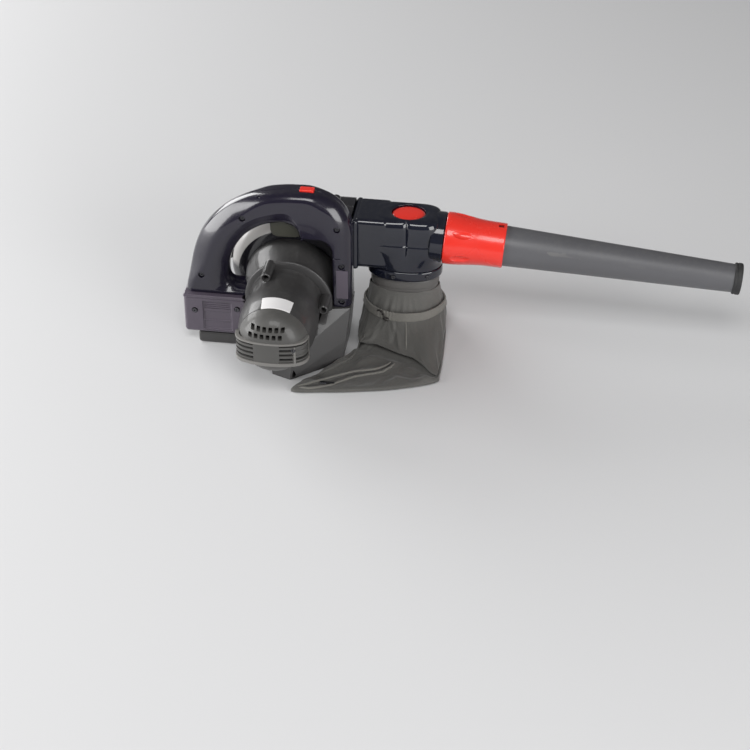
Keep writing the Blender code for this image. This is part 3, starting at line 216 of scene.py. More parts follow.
def dust_group():
    """Dry dust that settles on faces that look up."""
    group, tree, given = new_group(
        "settled_dust", [("Amount", "NodeSocketFloat", 0.1)], [("Dust", "NodeSocketFloat")]
    )
    place = tree.add("ShaderNodeTexCoord").outputs["Object"]
    speckle = tree.add("ShaderNodeTexNoise", inputs={"Vector": place, "Scale": 170.0, "Detail": 6.0})
    normal = tree.add("ShaderNodeNewGeometry").outputs["Normal"]
    upward = tree.add("ShaderNodeSeparateXYZ", inputs={0: normal}).outputs["Z"]
    lying = tree.spread(upward, 0.2, 1.0)
    grains = tree.spread(speckle.outputs[0], 0.45, 0.75)
    dust = tree.maths("MULTIPLY", tree.maths("MULTIPLY", lying, grains), given["Amount"])
    tree.add("NodeGroupOutput", inputs={"Dust": dust})
    return group


def weave_group():
    """A plain weave of thick and thin threads, read from the cloth's own layout."""
    group, tree, given = new_group(
        "bag_weave",
        [("Layout", "NodeSocketVector", None), ("Threads", "NodeSocketFloat", 900.0)],
        [("Height", "NodeSocketFloat"), ("Thread Tone", "NodeSocketFloat"), ("Cloudy", "NodeSocketFloat")],
    )
    parts = tree.add("ShaderNodeSeparateXYZ", inputs={0: given["Layout"]})
    across = tree.maths("SINE", tree.maths("MULTIPLY", parts.outputs["X"], given["Threads"]))
    along = tree.maths("SINE", tree.maths("MULTIPLY", parts.outputs["Y"], given["Threads"]))
    over = tree.maths("MULTIPLY", across, along)
    slub = tree.add("ShaderNodeTexNoise", inputs={"Vector": given["Layout"], "Scale": 420.0, "Detail": 3.0})
    height = tree.maths("ADD", tree.maths("MULTIPLY", over, 0.5), slub.outputs[0])
    tone = tree.spread(height, -0.2, 1.2)
    cloud = tree.add("ShaderNodeTexNoise", inputs={"Vector": given["Layout"], "Scale": 16.0, "Detail": 5.0})
    tree.add("NodeGroupOutput", inputs={"Height": height, "Thread Tone": tone,
                                        "Cloudy": tree.spread(cloud.outputs[0], 0.3, 0.7)})
    return group


def start_material(name):
    """A material with only its shader and its output left in it."""
    made = bpy.data.materials.new(name)
    made.use_nodes = True
    shader = made.node_tree.nodes["Principled BSDF"]
    return made, Tree(made.node_tree), shader


def moulded(name, tone, rubbed_tone, roughness, grain, depth, scuff, dust, gloss=0.0, mottle=0.12,
            painted_lip_highlight=False):
    """A moulded plastic: its colour, its sheen, the grain of its mould, and how much it has been handled."""
    made, tree, shader = start_material(name)
    surface = tree.add("ShaderNodeGroup", node_tree=mould_grain, inputs={"Grain Size": grain})
    worn = tree.add("ShaderNodeGroup", node_tree=scuffs, inputs={"Amount": scuff})
    settled = tree.add("ShaderNodeGroup", node_tree=settled_dust, inputs={"Amount": dust})
    darker = tuple(c * (1.0 - mottle) for c in tone[:3]) + (1.0,)
    base = tree.blend_colour(surface.outputs["Mottle"], tone, darker)
    base = tree.blend_colour(worn.outputs["Scratches"], base, rubbed_tone)
    base = tree.blend_colour(settled.outputs["Dust"], base, colour(150, 146, 138))
    # Paints a pale crescent on the scroll's sloping lip: a painted highlight that stands in for the lamps' reflection.
    if painted_lip_highlight:
        base = tree.blend_colour(painted_highlight_on_scroll_lip(tree), base, colour(206, 203, 200))
    tree.tree.links.new(base, shader.inputs["Base Color"])
    rough = tree.maths("ADD", tree.maths("MULTIPLY", surface.outputs["Mottle"], 0.05), roughness)
    rough = tree.maths("ADD", rough, tree.maths("MULTIPLY", worn.outputs["Rubbed"], 0.10))
    rough = tree.maths("ADD", rough, tree.maths("MULTIPLY", settled.outputs["Dust"], 0.5))
    tree.tree.links.new(rough, shader.inputs["Roughness"])
    bump = tree.add("ShaderNodeBump", inputs={"Height": surface.outputs["Height"], "Distance": depth})
    bump.inputs["Strength"].default_value = 0.5
    tree.tree.links.new(bump.outputs[0], shader.inputs["Normal"])
    shader.inputs["IOR"].default_value = 1.50
    if gloss:
        shader.inputs["Coat Weight"].default_value = gloss
        shader.inputs["Coat Roughness"].default_value = 0.06
    return made


def painted_highlight_on_scroll_lip(tree):
    """One on the scroll's sloping lip behind the hand hole, where a pale crescent is painted as a highlight in place of
    the lamps' reflection.
    """
    places = tree.add("ShaderNodeSeparateXYZ", inputs={0: tree.add("ShaderNodeTexCoord").outputs["Object"]})
    across = tree.maths("POWER", places.outputs["X"], 2.0)
    up = tree.maths("POWER", tree.maths("SUBTRACT", places.outputs["Z"], 0.084), 2.0)
    lip = tree.spread(tree.maths("ADD", across, up), 0.0754**2, 0.0762**2)
    lip = tree.maths("MULTIPLY", lip, tree.spread(places.outputs["X"], -0.0275, -0.0285))
    lip = tree.maths("MULTIPLY", lip, tree.spread(places.outputs["Z"], 0.090, 0.100))
    return tree.maths("MULTIPLY", lip, tree.spread(places.outputs["Y"], 0.040, 0.036))


def metal(name, tone, roughness, grain):
    made, tree, shader = start_material(name)
    surface = tree.add("ShaderNodeGroup", node_tree=mould_grain, inputs={"Grain Size": grain})
    worn = tree.add("ShaderNodeGroup", node_tree=scuffs, inputs={"Amount": 0.8})
    darker = tuple(c * 0.6 for c in tone[:3]) + (1.0,)
    tree.tree.links.new(tree.blend_colour(surface.outputs["Mottle"], tone, darker), shader.inputs["Base Color"])
    rough = tree.maths("ADD", tree.maths("MULTIPLY", worn.outputs["Rubbed"], 0.2), roughness)
    tree.tree.links.new(rough, shader.inputs["Roughness"])
    bump = tree.add("ShaderNodeBump", inputs={"Height": surface.outputs["Height"], "Distance": 0.00004})
    tree.tree.links.new(bump.outputs[0], shader.inputs["Normal"])
    shader.inputs["Metallic"].default_value = 1.0
    return made


def cloth_finish(name, tone, threads):
    """Woven nylon: its threads, its soft sheen and slow changes where it has been washed and rubbed."""
    made, tree, shader = start_material(name)
    layout = tree.add("ShaderNodeUVMap", uv_map="cloth_layout").outputs[0]
    threads_of = tree.add("ShaderNodeGroup", node_tree=bag_weave, inputs={"Layout": layout, "Threads": threads})
    lighter = tuple(min(c * 1.9, 1.0) for c in tone[:3]) + (1.0,)
    darker = tuple(c * 0.62 for c in tone[:3]) + (1.0,)
    base = tree.blend_colour(threads_of.outputs["Thread Tone"], darker, lighter)
    base = tree.blend_colour(tree.maths("MULTIPLY", threads_of.outputs["Cloudy"], 0.35), base, tone)
    tree.tree.links.new(base, shader.inputs["Base Color"])
    rough = tree.spread(threads_of.outputs["Cloudy"], 0.0, 1.0, 0.62, 0.8)
    tree.tree.links.new(rough, shader.inputs["Roughness"])
    bump = tree.add("ShaderNodeBump", inputs={"Height": threads_of.outputs["Height"], "Distance": 0.00018})
    bump.inputs["Strength"].default_value = 0.6
    tree.tree.links.new(bump.outputs[0], shader.inputs["Normal"])
    shader.inputs["Sheen Weight"].default_value = 0.25
    shader.inputs["Sheen Roughness"].default_value = 0.5
    return made


def finish_node(name, finish):
    """Gives a carried-over node its finish."""
    node = nodes[name]
    for slot in node.material_slots:
        slot.material = finish
    if not node.material_slots:
        node.data.materials.append(finish)


def lay_floor():
    bpy.ops.mesh.primitive_plane_add(size=9.0, location=(0.3, 0.5, cad_box_low[2]))
    floor = bpy.context.object
    floor.name = "studio_floor"
    made, tree, shader = start_material("pale_floor")
    shader.inputs["Base Color"].default_value = (0.68, 0.68, 0.685, 1)
    shader.inputs["Roughness"].default_value = 0.6
    floor.data.materials.append(made)


def pick_only(*pieces):
    """Leaves edit mode, and leaves only these pieces picked."""
    if bpy.context.mode != "OBJECT":
        bpy.ops.object.mode_set(mode="OBJECT")
    bpy.ops.object.select_all(action="DESELECT")
    for piece in pieces:
        piece.select_set(True)
    bpy.context.view_layer.objects.active = pieces[0]


def open_for_edit(piece, mode="VERT"):
    pick_only(piece)
    bpy.ops.object.mode_set(mode="EDIT")
    bpy.ops.mesh.select_mode(type=mode)
    bpy.ops.mesh.select_all(action="DESELECT")


def close_edit():
    bpy.ops.object.mode_set(mode="OBJECT")


def merge_and_face_out(piece):
    """Merges doubled corners and turns every face outwards."""
    open_for_edit(piece)
    bpy.ops.mesh.select_all(action="SELECT")
    bpy.ops.mesh.remove_doubles(threshold=0.00001)
    bpy.ops.mesh.normals_make_consistent(inside=False)
    close_edit()


def use_modifier(piece, kind, **settings):
    """Adds one modifier and applies it at once."""
    pick_only(piece)
    step = piece.modifiers.new(kind.lower(), kind)
    for key, value in settings.items():
        setattr(step, key, value)
    bpy.ops.object.modifier_apply(modifier=step.name)


def round_edges(piece, width, segments=3, angle=32):
    """Breaks the sharp edges, and shades across them with the flats kept flat."""
    use_modifier(piece, "BEVEL", width=width, segments=segments, limit_method="ANGLE", angle_limit=radians(angle),
                 use_clamp_overlap=False, miter_outer="MITER_ARC")
    smooth_over(piece, 50)


def smooth_over(piece, angle=40):
    pick_only(piece)
    bpy.ops.object.shade_smooth_by_angle(angle=radians(angle))
    use_modifier(piece, "WEIGHTED_NORMAL", keep_sharp=True, weight=80)


def carve(piece, *tools, operation="DIFFERENCE"):
    """Cuts or joins each tool with the piece, and clears the tool away."""
    for tool in tools:
        use_modifier(piece, "BOOLEAN", object=tool, operation=operation, solver="EXACT")
        bpy.data.objects.remove(tool, do_unlink=True)


def fit_together(name, *parts):
    """Makes one piece of several that lie in their places."""
    pick_only(*parts)
    bpy.ops.object.join()
    parts[0].name = name
    return parts[0]


def dress(piece, body, finish, slot_name, *stands_for):
    """Gives a finished piece its material, the body it rides and the nodes that it stands for."""
    piece.data.materials.clear()
    piece.data.materials.append(finish)
    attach(piece, body)
    if stands_for:
        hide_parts(*stands_for)
    return piece


def spun_piece(name, section, frame, sides=96, closed=True):
    """Draws a section of (radius, height) beside the frame's Z axis and spins it once round."""
    bpy.ops.mesh.primitive_circle_add(vertices=len(section), radius=0.01)
    piece = bpy.context.object
    piece.name = name
    for corner, (radius, height) in zip(piece.data.vertices, section):
        corner.co = frame @ Vector((radius, 0.0, height))
    open_for_edit(piece, "EDGE")
    if not closed:
        mesh = bmesh.from_edit_mesh(piece.data)
        for edge in mesh.edges:
            edge.select = {v.index for v in edge.verts} == {0, len(section) - 1}
        bpy.ops.mesh.delete(type="EDGE")
    bpy.ops.mesh.select_all(action="SELECT")
    axis = (frame.to_3x3() @ Vector((0.0, 0.0, 1.0))).normalized()
    bpy.ops.mesh.spin(steps=sides, angle=tau, center=frame.translation, axis=axis)
    close_edit()
    merge_and_face_out(piece)
    return piece


def grown_piece(name, rings, close_low=True, close_high=True, closed_band=False):
    """Starts from a circle laid on the first ring of points, and extrudes it through the others in turn."""
    count = len(rings[0])
    bpy.ops.mesh.primitive_circle_add(vertices=count, radius=0.01)
    piece = bpy.context.object
    piece.name = name
    for corner, place in zip(piece.data.vertices, rings[0]):
        corner.co = place
    open_for_edit(piece)
    bpy.ops.mesh.select_all(action="SELECT")
    place_of = {i: i for i in range(count)}
    if close_low and not closed_band:
        bpy.ops.mesh.edge_face_add()
    for ring in list(rings[1:]) + ([rings[0]] if closed_band else []):
        bpy.ops.mesh.extrude_edges_move()
        mesh = bmesh.from_edit_mesh(piece.data)
        mesh.verts.ensure_lookup_table()
        fresh = {}
        for corner in mesh.verts:
            if corner.select:
                before = next(e.other_vert(corner).index for e in corner.link_edges
                              if e.other_vert(corner).index in place_of)
                fresh[corner.index] = place_of[before]
        for index, number in fresh.items():
            mesh.verts[index].co = ring[number]
        place_of = fresh
        bmesh.update_edit_mesh(piece.data)
    if close_high and not closed_band:
        bpy.ops.mesh.edge_face_add()
    close_edit()
    merge_and_face_out(piece)
    return piece


def block(name, low, high, rounding=0.0, segments=3):
    """A box between two corners, its edges rounded."""
    middle = [(a + b) / 2 for a, b in zip(low, high)]
    bpy.ops.mesh.primitive_cube_add(size=1.0, location=middle)
    piece = bpy.context.object
    piece.name = name
    open_for_edit(piece)
    bpy.ops.mesh.select_all(action="SELECT")
    bpy.ops.transform.resize(value=[b - a for a, b in zip(low, high)], center_override=middle)
    close_edit()
    bpy.ops.object.transform_apply(location=True, rotation=True, scale=True)
    if rounding:
        use_modifier(piece, "BEVEL", width=rounding, segments=segments, limit_method="NONE")
    return piece


def pin(name, radius, low, high, frame, sides=48):
    """A round pin along the frame's Z axis, for cutting or joining."""
    return spun_piece(name, [(0.0, high), (radius, high), (radius, low), (0.0, low)], frame, sides, closed=False)


def fine_copy(node_name, piece_name, finish, slot_name, edge=0.0005, angle=32, join_flats=True):
    """A merged copy of a carried-over node with its edges broken, which stands for the node."""
    node = nodes[node_name]
    piece = bpy.data.objects.new(piece_name, node.data.copy())
    bpy.context.scene.collection.objects.link(piece)
    open_for_edit(piece)
    bpy.ops.mesh.select_all(action="SELECT")
    bpy.ops.mesh.remove_doubles(threshold=0.00001)
    if join_flats:
        bpy.ops.mesh.dissolve_limited(angle_limit=radians(0.6))
    close_edit()
    if edge:
        round_edges(piece, edge, 2, angle)
    else:
        smooth_over(piece)
    return dress(piece, body_of(node)[0], finish, slot_name, node_name)


SHAFT_Z = 0.084
DUCT_X, DUCT_Y = 0.150, 0.05365
DUCT_HALF_X, DUCT_HALF_Y = 0.050, 0.03235
DUCT_LOW, DUCT_TOP = 0.1063, 0.184
PORT = (0.198, 0.05365, 0.148)
DROOP = radians(4.5)


def along_y(x=0.0, z=SHAFT_Z, y=0.0):
    """A frame whose Z axis points back along the motor's shaft."""
    return Matrix.Translation((x, y, z)) @ Matrix.Rotation(-pi / 2, 4, "X")


def along_tube(distance=0.0):
    """A frame whose Z axis runs out along the drooping tube."""
    return Matrix.Translation(PORT) @ Matrix.Rotation(pi / 2 + DROOP, 4, "Y") @ Matrix.Translation((0, 0, distance))


# Motor barrel and its nose

BARREL_SKIN = ((0.0470, -0.1220), (0.0476, -0.1206), (0.0496, -0.1110), (0.0510, -0.0990), (0.0515, -0.0870),
               (0.0511, -0.0760), (0.0502, -0.0650), (0.0492, -0.0550), (0.0484, -0.0460), (0.0479, -0.0380),
               (0.0480, -0.0325), (0.0488, -0.0300), (0.0500, -0.0290), (0.0520, -0.0285), (0.0532, -0.0240),
               (0.0556, -0.0130), (0.0580, -0.0050), (0.0604, 0.0030), (0.0625, 0.0100), (0.0635, 0.0160),
               (0.0640, 0.0209))
FLANGE_SECTION = ((0.0480, -0.0245), (0.0578, -0.0245), (0.0588, -0.0250), (0.0592, -0.0264), (0.0592, -0.0278),
                  (0.0586, -0.0291), (0.0576, -0.0296), (0.0560, -0.0298), (0.0545, -0.0304), (0.0480, -0.0306))
TOWER_TURNS = (112.0, 8.0, 232.0)


def motor_barrel():
    """The motor's barrel and cone, its flange and three screw towers."""
    inner = [(radius - 0.0025, y) for radius, y in reversed(BARREL_SKIN[::4])]
    barrel = spun_piece("motor_barrel", list(BARREL_SKIN) + inner, along_y(), 144)
    parts = [barrel, spun_piece("flange", FLANGE_SECTION, along_y(0.0030, SHAFT_Z - 0.0008), 144)]
    for turn in TOWER_TURNS:
        frame = along_y(0.0555 * cos(radians(turn)), SHAFT_Z + 0.0555 * sin(radians(turn)))
        section = [(0.0, -0.0460), (0.0040, -0.0460), (0.0040, -0.0596), (0.0045, -0.0603), (0.0056, -0.0603),
                   (0.0063, -0.0596), (0.0069, -0.0260), (0.0, -0.0260)]
        parts.append(spun_piece("tower", section, frame, 40, closed=False))
        web = block("tower_web", (0.0440, -0.0585, -0.0030), (0.0530, -0.0280, 0.0030), 0.0008, 2)
        web.data.transform(Matrix.Translation((0, 0, SHAFT_Z)) @ Matrix.Rotation(-radians(turn), 4, "Y"))
        parts.append(web)
    fit_together("motor_barrel", *parts)
    smooth_over(barrel, 40)
    dress(barrel, "body", satin_black, "black_plastic", "motor_housing")


def blank_plate():
    """The plain pale plate over the barrel's shoulder, with nothing on it."""
    section = [(0.0466, -0.1222), (0.0474, -0.1222), (0.0482, -0.1208), (0.0519, -0.1045), (0.0519, -0.1038),
               (0.0509, -0.1034)]
    rings = []
    for i in range(31):
        turn = Matrix.Translation((0, 0, SHAFT_Z)) @ Matrix.Rotation(radians(-62.0 - 47.0 * i / 30), 4, "Y")
        rings.append([turn @ Vector((radius, y, 0.0)) for radius, y in section])
    plate = grown_piece("blank_plate", rings)
    round_edges(plate, 0.0003, 2)
    dress(plate, "body", plate_pale, "nylon")


NOSE_SKIN = ((0.0467, -0.1223), (0.0456, -0.1262), (0.0442, -0.1305), (0.0425, -0.1350), (0.0396, -0.1394),
             (0.0360, -0.1432), (0.0318, -0.1462), (0.0270, -0.1485), (0.0212, -0.1501), (0.0150, -0.1513),
             (0.0075, -0.1518), (0.0, -0.1520))


def nose_cap():
    """The domed nose, with its two rows of short vents."""
    inner = [(max(radius - 0.0022, 0.0), y + 0.0020) for radius, y in NOSE_SKIN]
    cap = spun_piece("nose_cap", list(NOSE_SKIN) + list(reversed(inner)), along_y(), 144, closed=False)
    vents = []
    for z, y, start in ((0.1135, -0.150, -0.0230), (0.1040, -0.155, -0.0262)):
        for i in range(6):
            middle = start + i * 0.0079
            vents.append(block("vent", (middle - 0.0026, y, z - 0.0032), (middle + 0.0026, y + 0.022, z + 0.0032),
                               0.0009, 2))
    vents.append(block("band_opening", (-0.040, -0.160, 0.064), (0.040, -0.130, 0.092), 0.003))
    carve(cap, fit_together("vents", *vents))
    smooth_over(cap, 40)
    dress(cap, "body", painted_lit_nose_grey, "black_plastic", "motor_end_cap")


BAND_PLAN = ((-0.0490, -0.1240), (-0.0482, -0.1330), (-0.0440, -0.1412), (-0.0350, -0.1470), (-0.0200, -0.1508),
             (0.0000, -0.1522), (0.0200, -0.1506), (0.0340, -0.1464), (0.0425, -0.1400), (0.0462, -0.1320),
             (0.0468, -0.1240))
BAND_LOW, BAND_HIGH = 0.0600, 0.0955


def band_curve(share, out=0.0):
    """A point on the band's plan, from its left end to its right, moved out by so much."""
    at = share * (len(BAND_PLAN) - 1)
    start = min(int(at), len(BAND_PLAN) - 2)
    blend = at - start
    points = [Vector(BAND_PLAN[max(0, min(i, len(BAND_PLAN) - 1))]) for i in range(start - 1, start + 3)]
    before, first, second, after = points
    place = 0.5 * ((2 * first) + (second - before) * blend + (2 * before - 5 * first + 4 * second - after) * blend**2
                   + (3 * first - before - 3 * second + after) * blend**3)
    away = (place - Vector((0.0, -0.108))).normalized()
    return place + away * out


def band_strip(name, start, end, low, high, out_low, out_high, steps=28, lean=0.0):
    """A curved bar that follows the band, between two shares of its length and two heights."""
    rings = []
    for i in range(steps + 1):
        share = start + (end - start) * i / steps
        near, far = band_curve(share, out_low), band_curve(share, out_high)
        droop = lean * abs(2 * share - 1) ** 2
        rings.append([(near.x, near.y, low + droop), (far.x, far.y, low + droop), (far.x, far.y, high + droop),
                      (near.x, near.y, high + droop)])
    return grown_piece(name, rings)


BAND_FRAME = ("band_top", "band_foot", "band_left", "band_right", "band_rib_right")


def nose_band():
    """The raised grille round the nose: its frame, its bars, its blank middle and the screw's panel."""
    parts = [band_strip("band_top", 0.0, 1.0, BAND_HIGH - 0.0030, BAND_HIGH, -0.0050, 0.0004, 44),
             band_strip("band_foot", 0.0, 1.0, BAND_LOW, BAND_LOW + 0.0050, -0.0120, 0.0006, 44),
             band_strip("band_left", 0.0, 0.030, BAND_LOW, BAND_HIGH, -0.0050, 0.0004, 4),
             band_strip("band_right", 0.970, 1.0, BAND_LOW, BAND_HIGH, -0.0050, 0.0004, 4),
             band_strip("band_middle", 0.385, 0.560, BAND_LOW + 0.001, BAND_HIGH - 0.001, -0.0040, -0.0003, 14),
             band_strip("band_screw_plate", 0.690, 0.945, 0.0735, 0.0885, -0.0060, -0.0012, 14),
             band_strip("band_rib_right", 0.672, 0.690, BAND_LOW, BAND_HIGH - 0.006, -0.0050, 0.0007, 4),
             band_strip("band_rib_left", 0.120, 0.140, 0.0700, 0.0900, -0.0050, -0.0002, 4)]
    for height in (0.0880, 0.0812, 0.0744):
        parts.append(band_strip("band_bar", 0.02, 0.98, height - 0.0019, height + 0.0019, -0.0050, -0.0005, 44))
    parts.append(band_strip("band_bar", 0.02, 0.98, 0.0668, 0.0690, -0.0050, -0.0005, 44))
    for part in parts:
        use_modifier(part, "BEVEL", width=0.0006, segments=2, limit_method="ANGLE", angle_limit=radians(40))
    # The frame's parts take a pale grey that paints highlights along the band's edges.
    frame = [part for part in parts if part.name.split(".")[0] in BAND_FRAME]
    for name, pieces, finish in (("nose_band", [part for part in parts if part not in frame], painted_lit_nose_grey),
                                 ("nose_band_frame", frame, painted_highlight_edge_grey)):
        band = fit_together(name, *pieces)
        smooth_over(band, 40)
        dress(band, "body", finish, "black_plastic")
    dark = band_strip("nose_band_lining", 0.02, 0.98, BAND_LOW + 0.002, BAND_HIGH - 0.002, -0.0065, -0.0048, 44)
    smooth_over(dark, 40)
    dress(dark, "body", scroll_black, "black_plastic")


# Tube, its collar, its button and its end ring

def tube_pieces():
    skin = [(0.0271, 0.0400), (0.0272, 0.0860), (0.0246, 0.1800), (0.0216, 0.2950), (0.0190, 0.3945), (0.0188, 0.4020)]
    inner = [(radius - 0.0018, distance) for radius, distance in reversed(skin)]
    tube = spun_piece("blow_tube_skin", skin + inner, along_tube(), 128)
    carve(tube, pin("snap_hole", 0.0026, 0.020, 0.040, snap_frame(), 32))
    smooth_over(tube, 40)
    dress(tube, "tube", tube_grey, "tube_grey", "blow_tube")
    ring = [(0.0170, 0.4024), (0.0200, 0.4026), (0.0210, 0.4019), (0.0214, 0.4004), (0.0214, 0.3972), (0.0209, 0.3966),
            (0.0207, 0.3958), (0.0211, 0.3950), (0.0213, 0.3940), (0.0208, 0.3925), (0.0191, 0.3918), (0.0190, 0.3960),
            (0.0189, 0.4020), (0.0172, 0.4021)]
    end_ring = spun_piece("tube_end_ring", ring, along_tube(), 128)
    smooth_over(end_ring, 40)
    dress(end_ring, "tube", rubber, "black_rubber", "nozzle_ring")


def snap_frame():
    """A frame at the snap button whose Z axis points up out of the tube."""
    return along_tube(0.0785) @ Matrix.Rotation(-pi / 2, 4, "Y")


def collar():
    """The red collar, waisted, with thumb hollows round its wide end and a square window for the snap button."""
    skin = [(0.0292, 0.0860), (0.0299, 0.0856), (0.0302, 0.0846), (0.0303, 0.0780), (0.0305, 0.0620),
            (0.0309, 0.0550), (0.0315, 0.0480), (0.0324, 0.0410), (0.0333, 0.0340), (0.0343, 0.0270),
            (0.0350, 0.0200), (0.0353, 0.0140), (0.0353, 0.0090), (0.0349, 0.0068), (0.0342, 0.0058), (0.0335, 0.0055)]
    inner = [(0.0292, 0.0057), (0.0292, 0.0385), (0.0276, 0.0395), (0.0276, 0.0858)]
    piece = spun_piece("red_collar", skin + inner, along_tube(), 144)
    hollows = []
    for n in range(6):
        bpy.ops.mesh.primitive_uv_sphere_add(segments=40, ring_count=24, radius=1.0)
        hollow = bpy.context.object
        place = along_tube(0.0330) @ Matrix.Rotation(radians(60.0 * n + 18.0 + 90.0), 4, "Z") \
            @ Matrix.Translation((0.0375, 0.0, 0.0))
        hollow.data.transform(place @ Matrix.Diagonal((0.0062, 0.0078, 0.0185, 1.0)))
        hollows.append(hollow)
    carve(piece, *hollows)
    window = block("window", (-0.0036, -0.0036, 0.0200), (0.0036, 0.0036, 0.0400), 0.0006, 2)
    window.data.transform(snap_frame())
    carve(piece, window)
    smooth_over(piece, 35)
    dress(piece, "tube", signal_red, "red_plastic", "tube_collar")
    button = block("snap_tab", (-0.0030, -0.0030, 0.0240), (0.0030, 0.0030, 0.0292), 0.0005, 3)
    button.data.transform(snap_frame())
    smooth_over(button, 35)
    dress(button, "snap_button", deep_red, "black_rubber", "snap_button")


# Tee duct

def oval_points(half_x, half_y, z, fullness=2.2, turns=None):
    """A level ring of points round the middle of the duct, even in their directions."""
    ring = []
    for turn in turns or [tau * i / 144 for i in range(144)]:
        across, along = cos(turn), sin(turn)
        reach = (abs(across / half_x) ** fullness + abs(along / half_y) ** fullness) ** (-1.0 / fullness)
        ring.append(Vector((DUCT_X + across * reach, DUCT_Y + along * reach, z)))
    return ring


CREASE_TURN = radians(-83.8)
DUCT_TURNS = sorted(set([round(tau * i / 180 - pi, 5) for i in range(180)]
                        + [round(CREASE_TURN + radians(0.45 * k), 5) for k in range(-7, 8)]))
DUCT_RISE = ((0.1063, 0.0010, 2.2), (0.1072, 0.0, 2.2), (0.1123, 0.0, 2.3), (0.1160, 0.0, 2.5), (0.1203, 0.0, 2.8),
             (0.1250, 0.0, 3.3), (0.1303, 0.0, 3.8), (0.1360, 0.0, 4.0), (0.1410, 0.0, 4.1), (0.1455, 0.0, 4.2),
             (0.1462, 0.0002, 4.2), (0.1470, 0.0010, 4.2), (0.1478, 0.0013, 4.2), (0.1540, 0.0009, 4.2),
             (0.1620, 0.0009, 4.2), (0.1690, 0.0012, 4.2), (0.1735, 0.0017, 4.2), (0.1765, 0.0025, 4.2),
             (0.1788, 0.0036, 4.2), (0.1806, 0.0050, 4.2), (0.1820, 0.0067, 4.2), (0.1831, 0.0088, 4.2),
             (0.1837, 0.0110, 4.2), (0.1840, 0.0135, 4.2))


def duct_ring_points(z, inset, fullness):
    ring = oval_points(DUCT_HALF_X - max(inset, 0.0), DUCT_HALF_Y - inset, z, fullness, DUCT_TURNS)
    strength = max(0.0, min(1.0, (z - 0.128) / 0.010)) * max(0.0, min(1.0, (0.1845 - z) / 0.004))
    for point in ring:
        if point.y < DUCT_Y - 0.020:
            gap = abs(point.x - 0.1535)
            lobe = max(0.0, 1.0 - (abs(abs(point.x - 0.1510) - 0.0235) / 0.0235) ** 2)
            point.y += strength * (0.0021 * 2.718 ** (-((gap / 0.0023) ** 1.3)) - 0.0009 * lobe)
    return ring


def duct():
    body = grown_piece("duct_shell", [duct_ring_points(z, inset, fullness) for z, inset, fullness in DUCT_RISE])
    bpy.ops.mesh.primitive_uv_sphere_add(segments=96, ring_count=48, radius=1.0)
    scoop = bpy.context.object
    scoop.data.transform(Matrix.Translation((0.154, DUCT_Y, 0.190)) @ Matrix.Diagonal((0.0350, 0.0280, 0.0098, 1.0)))
    carve(body, scoop)
    pocket = pin("pocket", 1.0, 0.172, 0.200, Matrix.Translation((0.154, DUCT_Y, 0.0)), 96)
    pocket.data.transform(Matrix.Translation((0.154, DUCT_Y, 0.0)) @ Matrix.Diagonal((0.0229, 0.0189, 1.0, 1.0))
                          @ Matrix.Translation((-0.154, -DUCT_Y, 0.0)))
    carve(body, pocket)
    inlet = block("inlet", (0.0827, 0.0219, 0.1080), (0.1300, 0.0854, 0.1832), 0.0075, 5)
    flange = block("inlet_flange", (0.0800, 0.0205, 0.1055), (0.0897, 0.0862, 0.1828), 0.0050, 5)
    port = spun_piece("port", [(0.0, 0.0365), (0.0262, 0.0365), (0.0276, 0.0380), (0.0285, 0.0370), (0.0285, 0.0052),
                               (0.0332, 0.0050), (0.0342, 0.0044), (0.0345, 0.0030), (0.0345, -0.0120), (0.0, -0.0120)],
                      along_tube(), 128, closed=False)
    carve(body, inlet, operation="UNION")
    round_edges(body, 0.0005, 2, 40)
    round_edges(flange, 0.0002, 1, 60)
    smooth_over(port, 40)
    body = fit_together("duct_shell", body, flange, port)
    dress(body, "body", duct_navy, "navy_shell", "duct_body")


def duct_button():
    frame = Matrix.Translation((0.154, DUCT_Y, 0.0))
    section = [(0.0, 0.1822), (0.50, 0.1820), (0.72, 0.1817), (0.86, 0.1812), (0.94, 0.1806), (0.985, 0.1798),
               (1.0, 0.1788), (1.0, 0.1767), (0.0, 0.1767)]
    button = spun_piece("red_button", section, frame, 96, closed=False)
    button.data.transform(frame @ Matrix.Diagonal((0.0225, 0.0185, 1.0, 1.0)) @ frame.inverted())
    smooth_over(button, 50)
    dress(button, "duct_button", signal_red, "red_plastic", "duct_button")


def oval_band(name, section, fullness=2.2):
    """A closed section of (half width across, half width along, height) carried round the duct's oval."""
    return grown_piece(name, [oval_points(across, along, z, fullness) for across, along, z in section],
                       closed_band=True)


def ring_and_spigot():
    narrower = DUCT_HALF_X - DUCT_HALF_Y
    rim = [(0.0458, 0.1060), (0.0490, 0.1060), (0.0500, 0.1055), (0.0506, 0.1046), (0.0509, 0.1034), (0.0509, 0.0945),
           (0.0506, 0.0932), (0.0499, 0.0924), (0.0488, 0.0922), (0.0458, 0.0922)]
    ring = oval_band("duct_foot_ring", [(wide, wide - narrower, z) for wide, z in rim])
    smooth_over(ring, 50)
    dress(ring, "body", duct_navy, "navy_shell", "duct_ring")
    sleeve = [(0.0430, 0.1060), (0.0455, 0.1060), (0.0455, 0.0890), (0.0462, 0.0884), (0.0466, 0.0874), (0.0466, 0.0790),
              (0.0462, 0.0780), (0.0455, 0.0774), (0.0455, 0.0400), (0.0445, 0.0360), (0.0430, 0.0360)]
    spigot = oval_band("spigot_sleeve", [(wide, wide - narrower, z) for wide, z in sleeve])
    smooth_over(spigot, 50)
    dress(spigot, "body", spigot_grey, "black_plastic", "bag_spigot")


# The collection bag, of woven nylon

